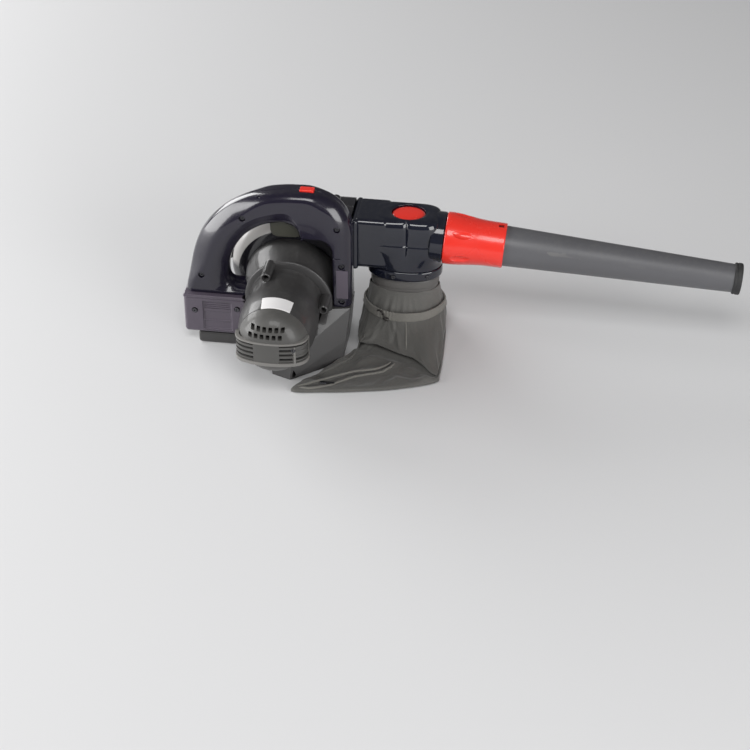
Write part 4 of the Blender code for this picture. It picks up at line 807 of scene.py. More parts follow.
BAG_EDGE = ((0.020, -0.124), (0.052, -0.087), (0.084, -0.050), (0.093, -0.020), (0.093, 0.050), (0.095, 0.098),
            (0.140, 0.118), (0.190, 0.106), (0.2065, 0.060), (0.2115, 0.000), (0.2125, -0.062), (0.207, -0.080),
            (0.158, -0.101), (0.110, -0.113), (0.064, -0.121))
BAG_FOLD = ((0.100, -0.0155), (0.0965, -0.0145), (0.094, -0.0095), (0.0915, 0.008), (0.0915, 0.050), (0.0955, 0.092),
            (0.140, 0.110), (0.188, 0.100), (0.2045, 0.060), (0.2095, 0.000), (0.2105, -0.050), (0.206, -0.068),
            (0.178, -0.0425), (0.149, -0.0305), (0.119, -0.0175))
FOLD_HEIGHT = (0.0145, 0.0145, 0.015, 0.015, 0.013, 0.011, 0.010, 0.010, 0.010, 0.009, 0.008, 0.0075, 0.0115, 0.013,
               0.014)
CUFF_TURNS = (-126.0, -136.0, -148.0, -163.0, -181.0, -218.0, -262.0, -308.0, -352.0, -379.0, -403.0, -421.0, -439.0,
              -456.0, -471.0)
BAG_SPAN = (8, 8, 7, 9, 7, 7, 8, 7, 8, 8, 6, 9, 10, 10, 9)
FLAP_ROWS = 17
ZIP_PATH = ((0.0286, -0.1200), (0.0401, -0.1150), (0.0571, -0.1044), (0.0757, -0.0890), (0.0970, -0.0765),
            (0.1120, -0.0712), (0.1260, -0.0655), (0.1372, -0.0560), (0.1451, -0.0475))
# each soft ridge or hollow of the flap: its path on the ground, how high it stands, how wide it is
FLAP_FOLDS = ((ZIP_PATH, 0.0026, 0.0095),
              (((0.052, -0.094), (0.078, -0.070), (0.104, -0.058), (0.128, -0.047)), -0.0030, 0.0085),
              (((0.060, -0.077), (0.078, -0.048), (0.090, -0.026)), 0.0036, 0.0080),
              (((0.100, -0.050), (0.122, -0.036)), 0.0024, 0.0070),
              (((0.158, -0.082), (0.178, -0.086), (0.196, -0.080)), 0.0042, 0.0085),
              (((0.140, -0.072), (0.160, -0.062), (0.182, -0.066)), -0.0032, 0.0070),
              (((0.084, -0.103), (0.120, -0.098), (0.150, -0.090)), 0.0016, 0.0060),
              (((0.170, -0.055), (0.196, -0.072)), 0.0020, 0.0050))
# each pucker of the cuff: its path across and up, how far it stands out, how wide it is
CUFF_PUCKERS = ((((0.1385, 0.0370), (0.1475, 0.0290), (0.1510, 0.0190)), 0.0022, 0.0026),
                (((0.1285, 0.0385), (0.1345, 0.0310), (0.1365, 0.0240)), 0.0012, 0.0026),
                (((0.1210, 0.0385), (0.1150, 0.0300), (0.1130, 0.0200)), 0.0012, 0.0034),
                (((0.1700, 0.0380), (0.1690, 0.0290), (0.1640, 0.0190)), 0.0010, 0.0040),
                (((0.1850, 0.0370), (0.1880, 0.0250), (0.1860, 0.0160)), 0.0012, 0.0045),
                (((0.1040, 0.0370), (0.1010, 0.0270), (0.1030, 0.0190)), 0.0012, 0.0040),
                (((0.1440, 0.0370), (0.1435, 0.0270), (0.1400, 0.0180)), -0.0014, 0.0024))


def cuff_level(half_x, half_y, z):
    level = []
    for turn in CUFF_TURNS:
        across, along = cos(radians(turn)), sin(radians(turn))
        reach = 1.0 / sqrt((across / half_x) ** 2 + (along / half_y) ** 2)
        level.append(Vector((DUCT_X + across * reach, DUCT_Y + along * reach, z)))
    return level


def fold_level(out, lift, height_share=1.0):
    level = []
    for (x, y), height in zip(BAG_FOLD, FOLD_HEIGHT):
        away = Vector((x - DUCT_X, y - DUCT_Y, 0.0)).normalized()
        level.append(Vector((x, y, height * height_share + lift)) + away * out)
    return level


def edge_level(inwards, z):
    level = []
    for x, y in BAG_EDGE:
        away = Vector((x - DUCT_X, y - 0.020, 0.0)).normalized()
        level.append(Vector((x, y, z)) - away * inwards)
    return level


def mix_levels(first, second, share, lift=0.0):
    return [a.lerp(b, share) + Vector((0.0, 0.0, lift)) for a, b in zip(first, second)]


def smooth_level(level):
    """Carries a level's corners round as one closed soft curve."""
    points = []
    count = len(level)
    for k in range(count):
        before, first, second, after = (level[(k + d) % count] for d in (-1, 0, 1, 2))
        for i in range(BAG_SPAN[k]):
            t = i / BAG_SPAN[k]
            points.append(0.5 * (2 * first + (second - before) * t + (2 * before - 5 * first + 4 * second - after) * t**2
                                 + (3 * first - before - 3 * second + after) * t**3))
    return points


def from_path(place, path):
    """How far a place is from a path drawn through a few points."""
    nearest = 1.0
    for first, second in zip(path, path[1:]):
        start, run = Vector(first[:2]), Vector(second[:2]) - Vector(first[:2])
        share = max(0.0, min(1.0, (place - start).dot(run) / run.length_squared))
        nearest = min(nearest, (place - start - run * share).length)
    return nearest


def raised_by(place, folds):
    return sum(height * exp(-(from_path(place, path) / width) ** 2) for path, height, width in folds)


def bag_levels():
    """The bag from the rim of its cuff down over the fold and out to the edge that lies on the ground."""
    rim, hem = cuff_level(0.0545, 0.0470, 0.0500), cuff_level(0.0555, 0.0500, 0.0400)
    nose = fold_level(0.0, 0.0)
    levels = [rim, mix_levels(rim, hem, 0.35), mix_levels(rim, hem, 0.7), hem]
    for share in (0.1, 0.2, 0.3, 0.4, 0.5, 0.6, 0.7, 0.8, 0.9):
        bulge = fold_level(0.0030 * sin(pi * share), 0.0)
        levels.append(mix_levels(hem, bulge, share, 0.0012 * sin(pi * share)))
    levels += [nose, fold_level(-0.0012, -0.0024), fold_level(-0.0050, -0.0034), fold_level(-0.0105, -0.0010, 0.62),
               fold_level(-0.0100, 0.0022, 0.25), fold_level(-0.0045, 0.0040, 0.0)]
    root, edge = fold_level(-0.0045, 0.0040, 0.0), edge_level(0.0025, 0.0062)
    for row in range(FLAP_ROWS):
        share = (row + 1) / FLAP_ROWS
        levels.append(mix_levels(root, edge, share, 0.0026 * sin(pi * share)))
    levels += [edge_level(0.0006, 0.0048), edge_level(0.0, 0.0030), edge_level(0.0010, 0.0014), edge_level(0.0040, 0.0006),
               edge_level(0.0180, 0.0005)]
    return [smooth_level(level) for level in levels]


CUFF_ROWS = 19


def shape_bag_by_hand(levels):
    """Raises the soft ridges of the flap and the puckers of the cuff's front."""
    for row, level in enumerate(levels):
        share = (row - CUFF_ROWS + 1) / FLAP_ROWS
        for point in level:
            if 0.0 < share < 1.0 and point.y < 0.02:
                ease = min(1.0, 6.0 * share, 5.0 * (1.0 - share))
                point.z = max(point.z + ease * raised_by(Vector((point.x, point.y)), FLAP_FOLDS), 0.0030)
            elif 3 < row < 14 and point.y < 0.03:
                out = raised_by(Vector((point.x, point.z)), CUFF_PUCKERS)
                away = Vector((point.x - DUCT_X, point.y - DUCT_Y, 0.0)).normalized()
                point += away * out


def sew_layout(piece, levels):
    """Lays the cloth's weave on it: round and down on the cuff, straight across on the flap."""
    columns, down = len(levels[0]), [0.0]
    for above, below in zip(levels, levels[1:]):
        down.append(down[-1] + sum((a - b).length for a, b in zip(above, below)) / columns)
    layout = piece.data.uv_layers.new(name="cloth_layout")
    for face in piece.data.polygons:
        corners = [divmod(piece.data.vertices[i].index, columns) for i in face.vertices]
        wraps = max(c for _, c in corners) - min(c for _, c in corners) > columns / 2
        flat = min(r for r, _ in corners) >= CUFF_ROWS - 2
        for loop, (row, column) in zip(face.loop_indices, corners):
            place = piece.data.vertices[piece.data.loops[loop].vertex_index].co
            round_by = (column + columns if wraps and column < columns / 2 else column) / columns * 0.34
            layout.data[loop].uv = (place.x, place.y) if flat else (round_by, -down[row])


def settle_cloth(piece, held_by, frames, slack, most):
    """Lets a cloth settle between the places where it is held, and keeps how it came to lie."""
    laid = [corner.co.copy() for corner in piece.data.vertices]
    group = piece.vertex_groups.new(name="held")
    for index, weight in enumerate(held_by):
        group.add([index], weight, "REPLACE")
    bpy.ops.mesh.primitive_plane_add(size=0.9, location=(0.14, 0.0, 0.0002))
    ground = bpy.context.object
    bpy.ops.object.modifier_add(type="COLLISION")
    ground.collision.thickness_outer = 0.0008
    pick_only(piece)
    bpy.ops.object.modifier_add(type="CLOTH")
    cloth = piece.modifiers[-1]
    cloth.settings.quality = 8
    cloth.settings.mass = 0.12
    cloth.settings.tension_stiffness = 18.0
    cloth.settings.compression_stiffness = 12.0
    cloth.settings.shear_stiffness = 5.0
    cloth.settings.bending_stiffness = 0.35
    cloth.settings.shrink_min = -slack
    cloth.settings.vertex_group_mass = "held"
    cloth.settings.pin_stiffness = 1.5
    cloth.collision_settings.distance_min = 0.0008
    cloth.collision_settings.use_self_collision = False
    cloth.point_cache.frame_end = frames
    for frame_number in range(1, frames + 1):
        bpy.context.scene.frame_set(frame_number)
    bpy.ops.object.modifier_apply(modifier=cloth.name)
    bpy.context.scene.frame_set(1)
    bpy.data.objects.remove(ground)
    for corner, before in zip(piece.data.vertices, laid):
        moved = corner.co - before
        if moved.length > most:
            corner.co = before + moved * (most / moved.length)
    piece.vertex_groups.clear()


def bag_cloth_shell():
    """The bag itself: a shell of cloth, hung from its cuff and let settle under its own weight."""
    levels = bag_levels()
    shape_bag_by_hand(levels)
    bag = grown_piece("bag_cloth", levels, close_low=False, close_high=False)
    columns = len(levels[0])
    sew_layout(bag, levels)
    held_by = []
    for corner in bag.data.vertices:
        row = corner.index // columns
        if row < 4 or row >= CUFF_ROWS + FLAP_ROWS - 2:
            held_by.append(1.0)
        elif row < 13:
            held_by.append(0.10)
        elif row < CUFF_ROWS:
            held_by.append(0.45)
        else:
            held_by.append(0.16)
    settle_cloth(bag, held_by, 26, 0.02, 0.0050)
    use_modifier(bag, "SUBSURF", levels=1, render_levels=1)
    use_modifier(bag, "SOLIDIFY", thickness=0.0009, offset=-1.0, use_rim=True, use_even_offset=False)
    for corner in bag.data.vertices:
        corner.co.z = max(corner.co.z, 0.0002)
    smooth_over(bag, 70)
    return bag


LIP_BEHIND = ((0.0290, -0.1178), (0.0400, -0.1130), (0.0568, -0.1020), (0.0755, -0.0868), (0.0970, -0.0743),
              (0.1120, -0.0694), (0.1260, -0.0640), (0.1372, -0.0550), (0.1440, -0.0455))
LIP_FRONT = ((0.0310, -0.1205), (0.0490, -0.1192), (0.0690, -0.1095), (0.0930, -0.0880), (0.1132, -0.0775),
             (0.1330, -0.0690), (0.1430, -0.0590), (0.1490, -0.0480))
NECK_RINGS = ((0.0733, 0.0474, 0.0297), (0.0720, 0.0480, 0.0303), (0.0700, 0.0480, 0.0305), (0.0685, 0.0483, 0.0310),
              (0.0640, 0.0489, 0.0326), (0.0600, 0.0497, 0.0348), (0.0560, 0.0504, 0.0370), (0.0520, 0.0511, 0.0392),
              (0.0480, 0.0516, 0.0408), (0.0440, 0.0519, 0.0419), (0.0400, 0.0519, 0.0424), (0.0340, 0.0516, 0.0424))


def cuff_ring(out, z):
    share = (0.0500 - z) / 0.0100
    return cuff_level(0.0545 + 0.0010 * share + out, 0.0470 + 0.0030 * share + out, z)


def cuff_hem():
    """The doubled hem that closes the cuff's rim, sewn down with one row of stitches."""
    rings = []
    for out, z in ((0.0002, 0.0398), (0.0011, 0.0394), (0.0016, 0.0400), (0.0014, 0.0425), (0.0012, 0.0455),
                   (0.0014, 0.0490), (0.0012, 0.0503), (0.0002, 0.0509), (-0.0010, 0.0503), (-0.0014, 0.0470),
                   (-0.0014, 0.0420)):
        ring = smooth_level(cuff_ring(out, z))
        for point in ring:
            unrest = noise.noise(Vector((point.x * 70, point.y * 70, 3.0)))
            gather = exp(-((point.x - 0.127) / 0.012) ** 2) if point.y < 0.03 else 0.0
            point.z += 0.0005 * unrest + 0.0011 * gather * sin(point.x * 1450)
            away = Vector((point.x - DUCT_X, point.y - DUCT_Y, 0.0)).normalized()
            point += away * (0.0003 * unrest + 0.0007 * gather * (0.5 + 0.5 * sin(point.x * 1450)))
        rings.append(ring)
    hem = grown_piece("cuff_hem", rings, closed_band=True)
    sew_layout(hem, rings)
    use_modifier(hem, "SUBSURF", levels=1, render_levels=1)
    smooth_over(hem, 75)
    return hem


def neck_sleeve():
    """The lighter sleeve that joins the bag to the grey collar, standing up inside the open cuff."""
    rings = []
    for z, half_x, half_y in NECK_RINGS:
        ring = smooth_level(cuff_level(half_x, half_y, z))
        slack = min(1.0, max(0.0, (0.0690 - z) / 0.02))
        for point in ring:
            turn = atan2(point.y - DUCT_Y, point.x - DUCT_X)
            flute = sin(13 * turn + 2.0 * sin(3 * turn)) + 0.6 * sin(29 * turn + 1.3)
            away = Vector((point.x - DUCT_X, point.y - DUCT_Y, 0.0)).normalized()
            point += away * (slack * 0.0007 * flute)
        rings.append(ring)
    sleeve = grown_piece("neck_sleeve", rings, close_low=False, close_high=False)
    sew_layout(sleeve, rings)
    use_modifier(sleeve, "SUBSURF", levels=1, render_levels=1)
    use_modifier(sleeve, "SOLIDIFY", thickness=0.0010, offset=-1.0, use_rim=True, use_even_offset=False)
    smooth_over(sleeve, 70)
    return sleeve


def drawn_through(path, step=0.0022):
    """A smooth run of points through a few places."""
    places = [Vector(place) for place in path]
    places = [places[0] * 2 - places[1]] + places + [places[-1] * 2 - places[-2]]
    points = []
    for before, first, second, after in zip(places, places[1:], places[2:], places[3:]):
        count = max(int((second - first).length / step), 1)
        for i in range(count):
            t = i / count
            points.append(0.5 * (2 * first + (second - before) * t + (2 * before - 5 * first + 4 * second - after) * t**2
                                 + (3 * first - before - 3 * second + after) * t**3))
    return points + [places[-2]]


def piping(name, points, radius, around=8, taper=2):
    """A round welt of cloth along a run of points, drawn in at both ends."""
    rings = []
    for i, point in enumerate(points):
        run = (points[min(i + 1, len(points) - 1)] - points[max(i - 1, 0)]).normalized()
        side = run.cross(Vector((0, 0, 1)) if abs(run.z) < 0.9 else Vector((0, 1, 0))).normalized()
        above = side.cross(run)
        wide = radius * min(1.0, 0.35 + min(i, len(points) - 1 - i) / taper)
        rings.append([point + (side * cos(tau * k / around) + above * sin(tau * k / around)) * wide
                      for k in range(around)])
    welt = grown_piece(name, rings)
    sew_layout(welt, rings)
    smooth_over(welt, 60)
    return welt


def on_flap(bag, place, lift=0.0):
    """The point of the flap right under a place."""
    found, point, _, _ = bag.ray_cast(Vector((place[0], place[1], 0.03)), Vector((0, 0, -1)))
    return (point if found else Vector((place[0], place[1], 0.004))) + Vector((0, 0, lift))


def on_cuff(bag, across, z, lift=0.0):
    """The point of the cuff's front seen from ahead."""
    found, point, _, _ = bag.ray_cast(Vector((across, -0.2, z)), Vector((0, 1, 0)))
    return (point if found else Vector((across, 0.0, z))) + Vector((0, -lift, 0))


def stitch_row(name, points, pitch, size):
    """A row of short stitches along a run of points: one is shaped, and the others are its copies."""
    stitches, gone = [], 0.0
    for first, second in zip(points, points[1:]):
        gone += (second - first).length
        if gone < pitch:
            continue
        gone = 0.0
        run = (second - first).normalized()
        turn = run.to_track_quat("X", "Z").to_matrix().to_4x4()
        if not stitches:
            bpy.ops.mesh.primitive_uv_sphere_add(segments=6, ring_count=4, radius=0.5)
            stitch = bpy.context.object
            stitch.name = name
            open_for_edit(stitch)
            bpy.ops.mesh.select_all(action="SELECT")
            bpy.ops.transform.resize(value=size, center_override=(0, 0, 0))
            close_edit()
            shape = stitch.data.copy()
        else:
            stitch = bpy.data.objects.new(name, shape.copy())
            bpy.context.collection.objects.link(stitch)
        stitch.data.transform(Matrix.Translation(second) @ turn)
        stitches.append(stitch)
    pick_only(*stitches)
    bpy.ops.object.join()
    row = bpy.context.object
    row.data.uv_layers.new(name="cloth_layout") if not row.data.uv_layers else None
    return row


def zip_of(bag):
    """The zip that opens the flap: a tape of small teeth sunk between two welts, and its slider."""
    behind = [on_flap(bag, place, 0.0002) for place in drawn_through([(x, y, 0) for x, y in LIP_BEHIND])]
    front = [on_flap(bag, place, 0.0002) for place in drawn_through([(x, y, 0) for x, y in LIP_FRONT])]
    dress(piping("zip_welt_behind", behind, 0.0017, taper=5), "body", welt_cloth, "bag_fabric", "bag_body")
    dress(piping("zip_welt_front", front, 0.0017, taper=5), "body", welt_cloth, "bag_fabric", "bag_body")
    middle = []
    for i in range(len(behind)):
        other = front[round(i * (len(front) - 1) / (len(behind) - 1))]
        middle.append((behind[i] + other) / 2)
    middle = [on_flap(bag, place, 0.0001) for place in middle]
    teeth = stitch_row("zip_teeth", drawn_through(middle, 0.0008), 0.0015, (0.0008, 0.0038, 0.0010))
    dress(teeth, "body", zip_dark, "bag_fabric", "bag_body")
    spot = middle[len(middle) // 4]
    slider = block("zip_slider", (spot.x - 0.0048, spot.y - 0.0027, spot.z), (spot.x + 0.0048, spot.y + 0.0027, spot.z + 0.0024),
                   0.0009, 3)
    tab = block("zip_tab", (spot.x + 0.0020, spot.y - 0.0016, spot.z + 0.0018),
                (spot.x + 0.0150, spot.y + 0.0016, spot.z + 0.0030), 0.0005, 2)
    dress(fit_together("zip_slider", slider, tab), "body", dark_steel, "dark_steel", "bag_body")


def cuff_trim(bag):
    """The seam down the cuff's front, the knotted drawstring that shows through the hem, and the rows of stitches."""
    seam = [on_cuff(bag, 0.1575 + 0.0045 * share, 0.0400 - 0.0250 * share, 0.0001) for share in [i / 12 for i in range(13)]]
    dress(piping("cuff_seam", seam, 0.0011, taper=3), "body", welt_cloth, "bag_fabric", "bag_body")
    beside = [point + Vector((0.0030, -0.0002, 0.0)) for point in drawn_through(seam, 0.0008)]
    dress(stitch_row("seam_stitches", beside, 0.0026, (0.0017, 0.0006, 0.0006)), "body", thread_pale, "bag_fabric",
          "bag_body")
    hem_line = [point for point in smooth_level(cuff_ring(0.0018, 0.0412))]
    hem_line = drawn_through(hem_line + [hem_line[0]], 0.0008)
    dress(stitch_row("hem_stitches", hem_line, 0.0032, (0.0020, 0.0006, 0.0006)), "body", thread_pale, "bag_fabric",
          "bag_body")
    knots = []
    for number, loop in enumerate((((0.1165, 0.0460), (0.1200, 0.0500), (0.1250, 0.0480), (0.1245, 0.0430)),
                                   ((0.1225, 0.0500), (0.1270, 0.0455), (0.1290, 0.0400), (0.1340, 0.0385)),
                                   ((0.1255, 0.0385), (0.1285, 0.0420), (0.1320, 0.0430), (0.1345, 0.0400)))):
        points = []
        for k, (x, z) in enumerate(loop):
            place = on_cuff(bag, x, min(z, 0.0490), 0.0)
            points.append(Vector((x, place.y - (0.0005 if k in (0, 3) else 0.0026), z)))
        knots.append(piping("cord_turn", drawn_through(points, 0.0010), 0.0012, taper=2))
    dress(fit_together("drawstring_knot", *knots), "body", cord_dark, "bag_fabric", "bag_body")


def bag():
    cloth = bag_cloth_shell()
    hem, sleeve = cuff_hem(), neck_sleeve()
    dress(hem, "body", welt_cloth, "bag_fabric", "bag_body")
    dress(sleeve, "body", sleeve_cloth, "bag_fabric", "bag_neck")
    dress(cloth, "body", bag_cloth, "bag_fabric", "bag_body")
    cuff_trim(cloth)
    zip_of(cloth)


# Handle shells

HANDLE_OUTSIDE = ((-0.1398, 0.0788), (-0.1382, 0.0900), (-0.1345, 0.1090), (-0.1290, 0.1350), (-0.1212, 0.1580),
                  (-0.1108, 0.1775), (-0.0962, 0.1955), (-0.0770, 0.2120), (-0.0540, 0.2250), (-0.0290, 0.2328),
                  (-0.0040, 0.2370), (0.0140, 0.2380), (0.0300, 0.2380), (0.0460, 0.2356), (0.0620, 0.2280),
                  (0.0745, 0.2160), (0.0829, 0.2000), (0.0860, 0.1820), (0.0860, 0.1600), (0.0860, 0.1100),
                  (0.0860, 0.0725))
NOTCH_EDGE = ((0.0620, 0.0725), (0.0620, 0.1100), (0.0620, 0.1540), (0.0611, 0.1604), (0.0586, 0.1661), (0.0549, 0.1703),
              (0.0500, 0.1730), (0.0440, 0.1740), (0.0320, 0.1740), (0.0204, 0.1740))
HOLE_EDGE = ((0.0196, 0.1742), (0.0182, 0.1762), (0.0150, 0.1806), (0.0096, 0.1858), (0.0020, 0.1886), (-0.0090, 0.1895),
             (-0.0250, 0.1872), (-0.0400, 0.1806), (-0.0555, 0.1690), (-0.0670, 0.1545), (-0.0758, 0.1380),
             (-0.0802, 0.1225), (-0.0818, 0.1100), (-0.0812, 0.1000), (-0.0780, 0.0930), (-0.0710, 0.0885),
             (-0.0600, 0.0876), (-0.0460, 0.0876))
FACE_EDGE = ((0.0206, 0.1742), (0.0198, 0.1800), (0.0172, 0.1930), (0.0112, 0.2042), (0.0032, 0.2108), (-0.0060, 0.2118),
             (-0.0220, 0.2080), (-0.0385, 0.2020), (-0.0550, 0.1924), (-0.0690, 0.1820), (-0.0816, 0.1684),
             (-0.0920, 0.1510), (-0.0994, 0.1340), (-0.1030, 0.1210), (-0.1058, 0.1080), (-0.1050, 0.0960),
             (-0.0960, 0.0835), (-0.0460, 0.0826))
# how far out from the parting plane each step of the shell lies, and how far its hole has opened there
HANDLE_STEPS = ((0.0060, 0.00), (0.0085, 0.03), (0.0110, 0.10), (0.0135, 0.21), (0.0155, 0.34), (0.0172, 0.49),
                (0.0185, 0.63), (0.0192, 0.72), (0.0198, 0.80), (0.0202, 0.86), (0.0205, 0.91), (0.02075, 0.95),
                (0.0209, 0.97), (0.02097, 0.985), (0.0210, 1.00))


def between(first, second, share):
    return first + (second - first) * share


def spread_along(points, count):
    """Evenly spaced points along a run, its two ends kept."""
    gone = [0.0]
    for first, second in zip(points, points[1:]):
        gone.append(gone[-1] + (second - first).length)
    spread, k = [], 0
    for i in range(count):
        aim = gone[-1] * i / (count - 1)
        while k < len(points) - 2 and gone[k + 1] < aim:
            k += 1
        share = (aim - gone[k]) / max(gone[k + 1] - gone[k], 1e-9)
        spread.append(points[k].lerp(points[k + 1], min(share, 1.0)))
    return spread


def side_path(path, count):
    return spread_along(drawn_through([(x, 0.0, z) for x, z in path], 0.0012), count)


def rounding_inset(depth, radius):
    past = max(depth - (0.0210 - radius), 0.0)
    return radius - sqrt(max(radius**2 - past**2, 0.0))


def slope_inset(depth, face, deep, wide, fullness=1.4):
    """How far in a broad sloping edge has come at one depth; `face` is the depth of the flat side."""
    past = min(1.0, max(depth - (face - deep), 0.0) / deep)
    return wide * (1.0 - (1.0 - past**fullness) ** (1.0 / fullness))


def arch_share(place):
    """The edge slopes broadly on the left of the arch, and goes back to a plain round before the top and the foot."""
    across = max(0.0, min(1.0, (-place.x - 0.020) / 0.055))
    up = max(0.0, min(1.0, (place.z - 0.085) / 0.050))
    return across**2 * (3 - 2 * across) * up**2 * (3 - 2 * up)


def shoulder_share(place):
    """A narrower slope round the right shoulder and down its rim."""
    across = max(0.0, min(1.0, (place.x - 0.025) / 0.030))
    up = max(0.0, min(1.0, (place.z - 0.100) / 0.040))
    return across**2 * (3 - 2 * across) * up**2 * (3 - 2 * up)


def handle_ring(depth, share, outside, notch, hole, face):
    """The handle seen from the side, at one depth."""
    ring = []
    for path in (outside, notch):
        for i, place in enumerate(path):
            run = (path[min(i + 1, len(path) - 1)] - path[max(i - 1, 0)]).normalized()
            amount = rounding_inset(depth, 0.0022)
            if path is outside:
                amount = between(rounding_inset(depth, 0.0115), slope_inset(depth, 0.0210, 0.0170, 0.0215), arch_share(place))
                amount = between(amount, slope_inset(depth, 0.0210, 0.0135, 0.0145), shoulder_share(place))
            ring.append(place + Vector((run.z, 0.0, -run.x)) * amount)
    ring += [near.lerp(far, share) for near, far in zip(hole, face)]
    foot = 0.0788
    ring += [Vector((-0.0460, 0.0, foot))] + [Vector((-0.0460 - 0.0780 * i / 12, 0.0, foot)) for i in range(1, 13)]
    for i, place in enumerate(ring):
        if place.x < -0.04:
            place.z = max(place.z, foot)
        elif i < len(outside) + len(notch) and place.x > 0.06 and place.z < 0.08:
            place.z = max(place.z, 0.0725)
    return ring


def handle_half(name, side, node):
    """One moulded half of the handle: a round outer edge, a flat face, and a hollow ramp down to the hand hole."""
    outside, notch = side_path(HANDLE_OUTSIDE, 84), side_path(NOTCH_EDGE, 34)
    hole, face = side_path(HOLE_EDGE, 62), side_path(FACE_EDGE, 62)
    rings = []
    for depth, share in ((0.00015, 0.0),) + HANDLE_STEPS:
        ring = handle_ring(depth, share, outside, notch, hole, face)
        rings.append([Vector((place.x, side * depth, place.z)) for place in ring])
    shell = grown_piece(name, rings)
    tools = [block("hollow", (-0.0372, -0.0138, 0.1905), (0.0178, 0.0138, 0.2296), 0.001, 2),
             block("trigger_way", (-0.0250, -0.0092, 0.1640), (0.0172, 0.0092, 0.2000), 0.0006, 2),
             block("lock_way", (0.0167, -0.0058, 0.2250), (0.0363, 0.0058, 0.2500), 0.0012, 2),
             block("lock_room", (0.0140, -0.0080, 0.2240), (0.0390, 0.0080, 0.2325), 0.0005, 2)]
    if side < 0:
        for x, z in HANDLE_SCREWS:
            tools.append(pin("screw_bore", 0.0042, -0.0300, -0.0155, along_y(x, z), 32))
        tools.append(block("column_step", (0.0585, -0.0220, 0.1473), (0.0880, -0.0205, 0.1481), 0.0001, 1))
    for number, tool in enumerate(tools):
        carve(shell, tool)
    round_edges(shell, 0.0004, 2, 38)
    dress(shell, "body", glossy_navy, "navy_shell", node)
    return shell


HANDLE_SCREWS = ((-0.0575, 0.1990), (0.0680, 0.1920), (-0.1165, 0.1060), (0.0735, 0.1350), (0.0735, 0.0800))


def column_plate():
    """The slightly raised strip down the handle's front column, between its two lowest screws."""
    plate = block("column_plate", (0.0665, -0.0214, 0.0860), (0.0825, -0.0205, 0.1300), 0.0004, 2)
    dress(plate, "body", painted_lit_column_navy, "navy_shell")


def handle():
    handle_half("handle_front_shell", -1, "handle_front")
    handle_half("handle_rear_shell", 1, "handle_rear")
    column_plate()


# Battery dock

def dock():
    """The dock under the grip: a lipped housing with a sunk front panel, open below for the battery's shoe."""
    shell = block("battery_dock_shell", (-0.1418, -0.0285, 0.0183), (-0.0460, 0.0205, 0.0762), 0.0050, 6)
    lip = block("dock_lip", (-0.1420, -0.0290, 0.0738), (-0.0460, 0.0205, 0.0785), 0.0021, 5)
    carve(shell, lip, operation="UNION")
    for low, high, rounding in (((-0.1155, -0.0400, 0.0235), (-0.0755, -0.0270, 0.0700), 0.0016),
                                ((-0.1135, -0.0400, 0.0395), (-0.0775, -0.0263, 0.0530), 0.0010),
                                ((-0.1135, -0.0400, 0.0262), (-0.0775, -0.0263, 0.0372), 0.0010)):
        carve(shell, block("sunk_panel", low, high, rounding, 3))
    for z in (0.0575, 0.0605, 0.0635, 0.0665):
        carve(shell, block("fine_line", (-0.1130, -0.0300, z), (-0.0780, -0.0264, z + 0.0007), 0.0001, 1))
    carve(shell, block("shoe_room", (-0.1388, -0.0258, 0.0100), (-0.0646, 0.0173, 0.0750), 0.0012, 2))
    barrel_room = [(0.0, -0.0350), (0.0570, -0.0350), (0.0570, -0.0290), (0.0610, -0.0280), (0.0610, -0.0215),
                   (0.0610, -0.0050), (0.0628, 0.0030), (0.0646, 0.0120), (0.0656, 0.0230), (0.0, 0.0230)]
    carve(shell, spun_piece("barrel_room", barrel_room, along_y(), 96, closed=False))
    for x, z in ((-0.1265, 0.0540), (-0.0680, 0.0600)):
        carve(shell, pin("screw_bore", 0.0042, -0.0350, -0.0272, along_y(x, z), 32))
    round_edges(shell, 0.0004, 2, 38)
    dress(shell, "body", painted_lit_dock_navy, "navy_shell", "battery_dock")



# Front half of the fan's scroll

SCROLL_HALF = 0.03235
SCROLL_STEPS = (0.0120, 0.0155, 0.0190, 0.0220, 0.0248, 0.0270, 0.0288, 0.0301, 0.0311, 0.0317, 0.0321, 0.03235)


def scroll_radius(turn):
    return 0.0700 + 0.0310 * (turn / 280.0) ** 1.6


def scroll_inset(depth, turn):
    """A plain round at the foot, and a broad slope over the upper left of the spiral."""
    rise = max(0.0, min(1.0, (turn - 125.0) / 55.0))
    fall = max(0.0, min(1.0, (turn - 245.0) / 35.0))
    share = rise**2 * (3 - 2 * rise) * (1.0 - 0.5 * fall)
    past = max(depth - (SCROLL_HALF - 0.011), 0.0) / 0.011
    plain = 0.011 * (1.0 - sqrt(max(1.0 - past**2, 0.0)))
    return between(plain, slope_inset(depth, SCROLL_HALF, 0.0200, 0.0250), share)


def scroll_ring(depth, wall, outlet_x):
    """The spiral from its tongue over the top, then the outlet, at one depth in front of the parting line."""
    ring = []
    for i in range(85):
        turn = 280.0 * i / 84
        radius = scroll_radius(turn) - scroll_inset(depth + wall, turn) - wall
        ring.append(Vector((radius * cos(radians(10.0 - turn)), DUCT_Y - depth,
                            SHAFT_Z + radius * sin(radians(10.0 - turn)))))
    inset = scroll_inset(depth + wall, 0.0) + wall
    for x, z in ((outlet_x, SHAFT_Z + 0.1010 - inset), (outlet_x, 0.1100 + inset), (0.0740, 0.1100 + inset)):
        ring.append(Vector((x, DUCT_Y - depth, z)))
    return ring


